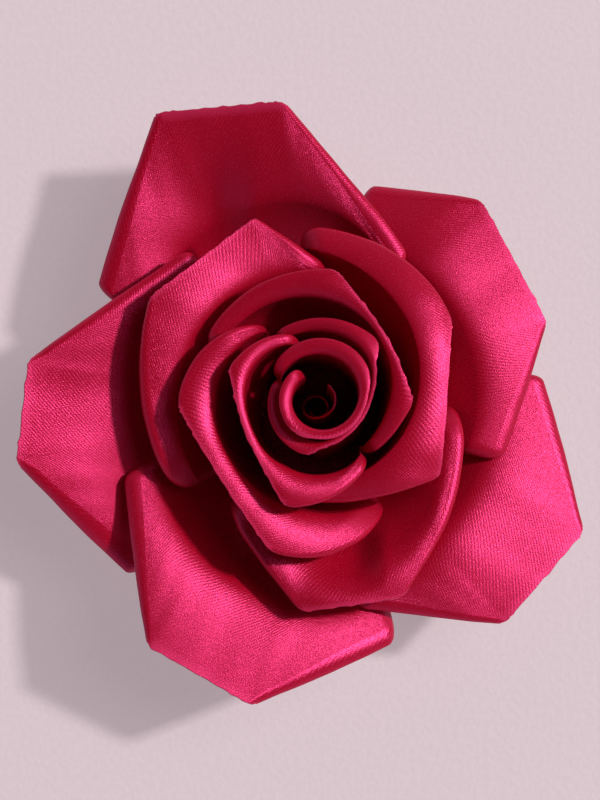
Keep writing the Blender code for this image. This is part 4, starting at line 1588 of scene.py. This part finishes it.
@dataclass
class SpringClip:
    """The pressed steel clip: two arms of the CAD model, its rivet and a wound spring."""

    hinge: Place = (20.0 * MM, 0.0, 2.95 * MM)
    coil_radius: float = 1.45 * MM
    wire_radius: float = 0.4 * MM
    coil_pitch: float = 1.25 * MM
    curls: float = 3.5
    leg_end: float = 30.0 * MM
    bend_start: float = 24.0 * MM
    lower_level: float = 1.35 * MM
    upper_level: float = 4.55 * MM
    handle_rise_deg: float = 11.0
    fillet_shares: Pair = (0.3, 0.25)
    curl_points: int = 44
    lower_points: int = 30
    upper_points: tuple[int, int, int] = (10, 12, 14)
    wire_sides: int = 14
    wire_end: float = 0.75
    wire_roughness: float = 0.3
    wire_stretch: Place = (1.0, 1.0, 1.0)
    arm_stretch: Place = (0.05, 1.0, 1.0)
    pin_stretch: Place = (1.0, 0.1, 1.0)
    edge_round: float = 0.14 * MM
    edge_segments: int = 3
    edge_angle_deg: float = 35.0

    def half_coil(self) -> float:
        """Return half of the coil's width."""
        return self.curls * self.coil_pitch / 2

    def dress(self, nodes: dict[str, bpy.types.Object]) -> list[bpy.types.Object]:
        """Give the steel nodes of the CAD model their finish and rounded edges.

        Args:
            nodes: objects of the CAD model by name.

        Returns:
            The dressed nodes.
        """
        stretches = {
            "clip_upper_arm": self.arm_stretch,
            "clip_lower_jaw": self.arm_stretch,
            "hinge_pin": self.pin_stretch,
        }
        dressed = []
        for name, stretch in stretches.items():
            node = nodes[name]
            node.data.materials.clear()
            node.data.materials.append(SteelFinish(f"{name}_steel", stretch).material())
            bevel = node.modifiers.new("worn_edges", "BEVEL")
            bevel.width = self.edge_round
            bevel.segments = self.edge_segments
            bevel.limit_method = "ANGLE"
            bevel.angle_limit = math.radians(self.edge_angle_deg)
            dressed.append(node)
        return dressed

    def spring_line(self) -> np.ndarray:
        """Lay the spring's centre line: lower leg, curls round the rivet, upper leg.

        Returns:
            The line's points.
        """
        x, _, z = self.hinge
        half = self.half_coil()
        turn = np.linspace(0.0, self.curls, round(self.curls * self.curl_points) + 1)
        angle = -math.pi / 2 - math.tau * turn
        out, up = self.coil_radius * np.cos(angle), self.coil_radius * np.sin(angle)
        curl = np.stack((x + out, -half + self.coil_pitch * turn, z + up), axis=1)
        start = (self.leg_end, -half, self.lower_level)
        lower = np.linspace(start, curl[0], self.lower_points)[:-1]
        slope = math.tan(math.radians(self.handle_rise_deg))
        rise = (self.leg_end - self.bend_start) * slope
        bend = np.array((self.bend_start, half, self.upper_level))
        end = np.array((self.leg_end, half, self.upper_level + rise))
        before = bend + (curl[-1] - bend) * self.fillet_shares[0]
        after = bend + (end - bend) * self.fillet_shares[1]
        to_bend, in_bend, from_bend = self.upper_points
        straight = np.linspace(curl[-1], before, to_bend)[1:-1]
        fillet = rounded(before, bend, after, np.linspace(0.0, 1.0, in_bend)[:, None])
        return np.vstack((lower, curl, straight, fillet, np.linspace(after, end, from_bend)[1:]))

    def build_spring(self) -> bpy.types.Object:
        """Make the torsion spring.

        Returns:
            The spring, which stands for its CAD node.
        """
        line = self.spring_line()
        radii = np.full(len(line), self.wire_radius)
        radii[0] = radii[-1] = self.wire_end * self.wire_radius
        mesh = RingMesh()
        mesh.add_tube(line, radii, self.wire_sides)
        steel = SteelFinish("spring_steel", self.wire_stretch, roughness=self.wire_roughness)
        made = mesh.piece("spring_coil", steel.material())
        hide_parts("torsion_spring")
        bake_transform(made)
        return made

    def build(self, nodes: dict[str, bpy.types.Object]) -> list[bpy.types.Object]:
        """Make the clip.

        Args:
            nodes: objects of the CAD model by name.

        Returns:
            Its pieces.
        """
        return [*self.dress(nodes), self.build_spring()]


@dataclass
class Studio:
    """The floor, the lamps and the camera."""

    lens: float = 114.4
    target: Place = (-3.037 * MM, 1.4985 * MM, 20.0 * MM)
    distance: float = 450.0 * MM
    elevation_deg: float = 85.0
    floor_width: float = 12.0
    key_power: float = 120.0
    key_azimuth_deg: float = 17.0
    key_elevation_deg: float = 48.0
    lamp_distance: float = 4.0
    key_width: float = 0.3
    soft_power: float = 30.0
    soft_azimuth_deg: float = 20.0
    soft_elevation_deg: float = 60.0
    soft_width: float = 1.8
    lamp_colour: Colour = (1.0, 0.97, 0.95)
    room_colour: Colour = (1.0, 0.97, 0.99)
    side_fill: float = 0.5
    top_fill: float = 0.03
    fade_range: Pair = (0.15, 0.75)

    def build_floor(self) -> bpy.types.Object:
        """Make the plaster floor.

        Returns:
            The floor.
        """
        bm = bmesh.new()
        bmesh.ops.create_grid(bm, x_segments=1, y_segments=1, size=self.floor_width / 2)
        mesh = bpy.data.meshes.new("floor")
        bm.to_mesh(mesh)
        bm.free()
        mesh.materials.append(PlasterFinish().material())
        floor = linked("floor", mesh)
        return floor

    def hang(
        self, name: str, power: float, width: float, azimuth_deg: float, elevation_deg: float,
    ) -> None:
        """Hang a square lamp that shines on the flower.

        Args:
            name: the lamp's name.
            power: in watts.
            width: of the lamp.
            azimuth_deg: its direction, seen from above.
            elevation_deg: its direction, above the floor.
        """
        lamp = bpy.data.lights.new(name, "AREA")
        lamp.energy = power
        lamp.size = width
        lamp.color = self.lamp_colour
        azimuth, elevation = math.radians(azimuth_deg), math.radians(elevation_deg)
        level = math.cos(elevation)
        toward = Vector((level * math.cos(azimuth), level * math.sin(azimuth), math.sin(elevation)))
        hung = linked(name, lamp)
        hung.location = Vector(self.target) + toward * self.lamp_distance
        hung.rotation_euler = toward.to_track_quat("Z", "Y").to_euler()

    def light(self) -> None:
        """Hang the lamps and set the pale surroundings that fill the shadows."""
        self.hang(
            "key", self.key_power, self.key_width, self.key_azimuth_deg, self.key_elevation_deg
        )
        self.hang(
            "soft", self.soft_power, self.soft_width, self.soft_azimuth_deg, self.soft_elevation_deg
        )
        world = bpy.data.worlds.new("pale_room")
        world.use_nodes = True
        tree = world.node_tree
        sky = tree.nodes["Background"]
        sky.inputs["Color"].default_value = (*self.room_colour, 1.0)
        place = tree.nodes.new("ShaderNodeTexCoord")
        parts = tree.nodes.new("ShaderNodeSeparateXYZ")
        fade = tree.nodes.new("ShaderNodeMapRange")
        fade.interpolation_type = "SMOOTHSTEP"
        low, high = self.fade_range
        for key, value in (("From Min", low), ("From Max", high),
                           ("To Min", self.side_fill), ("To Max", self.top_fill)):
            fade.inputs[key].default_value = value
        tree.links.new(place.outputs["Generated"], parts.inputs[0])
        tree.links.new(parts.outputs[2], fade.inputs["Value"])
        tree.links.new(fade.outputs[0], sky.inputs["Strength"])
        bpy.context.scene.world = world

    def place_camera(self) -> None:
        """Set the camera at the photograph's angle."""
        lens = bpy.data.cameras.new("camera")
        lens.lens = self.lens
        camera = linked("camera", lens)
        elevation = math.radians(self.elevation_deg)
        back = Vector((0.0, -math.cos(elevation), math.sin(elevation)))
        camera.location = Vector(self.target) + back * self.distance
        camera.rotation_euler = back.to_track_quat("Z", "Y").to_euler()
        bpy.context.scene.camera = camera

    def build(self) -> None:
        """Set up the whole studio."""
        bpy.context.scene.view_settings.view_transform = "Standard"
        self.build_floor()
        self.light()
        self.place_camera()


def main() -> None:
    """Build the whole clip and its studio."""
    logging.basicConfig(level=logging.INFO, format="%(message)s")
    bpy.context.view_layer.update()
    for piece in Rose().build() + FlowerBack().build() + SpringClip().build(frame["nodes"]):
        LOG.info("made %s", piece.name)
    Studio().build()


if __name__ == "__main__":
    main()
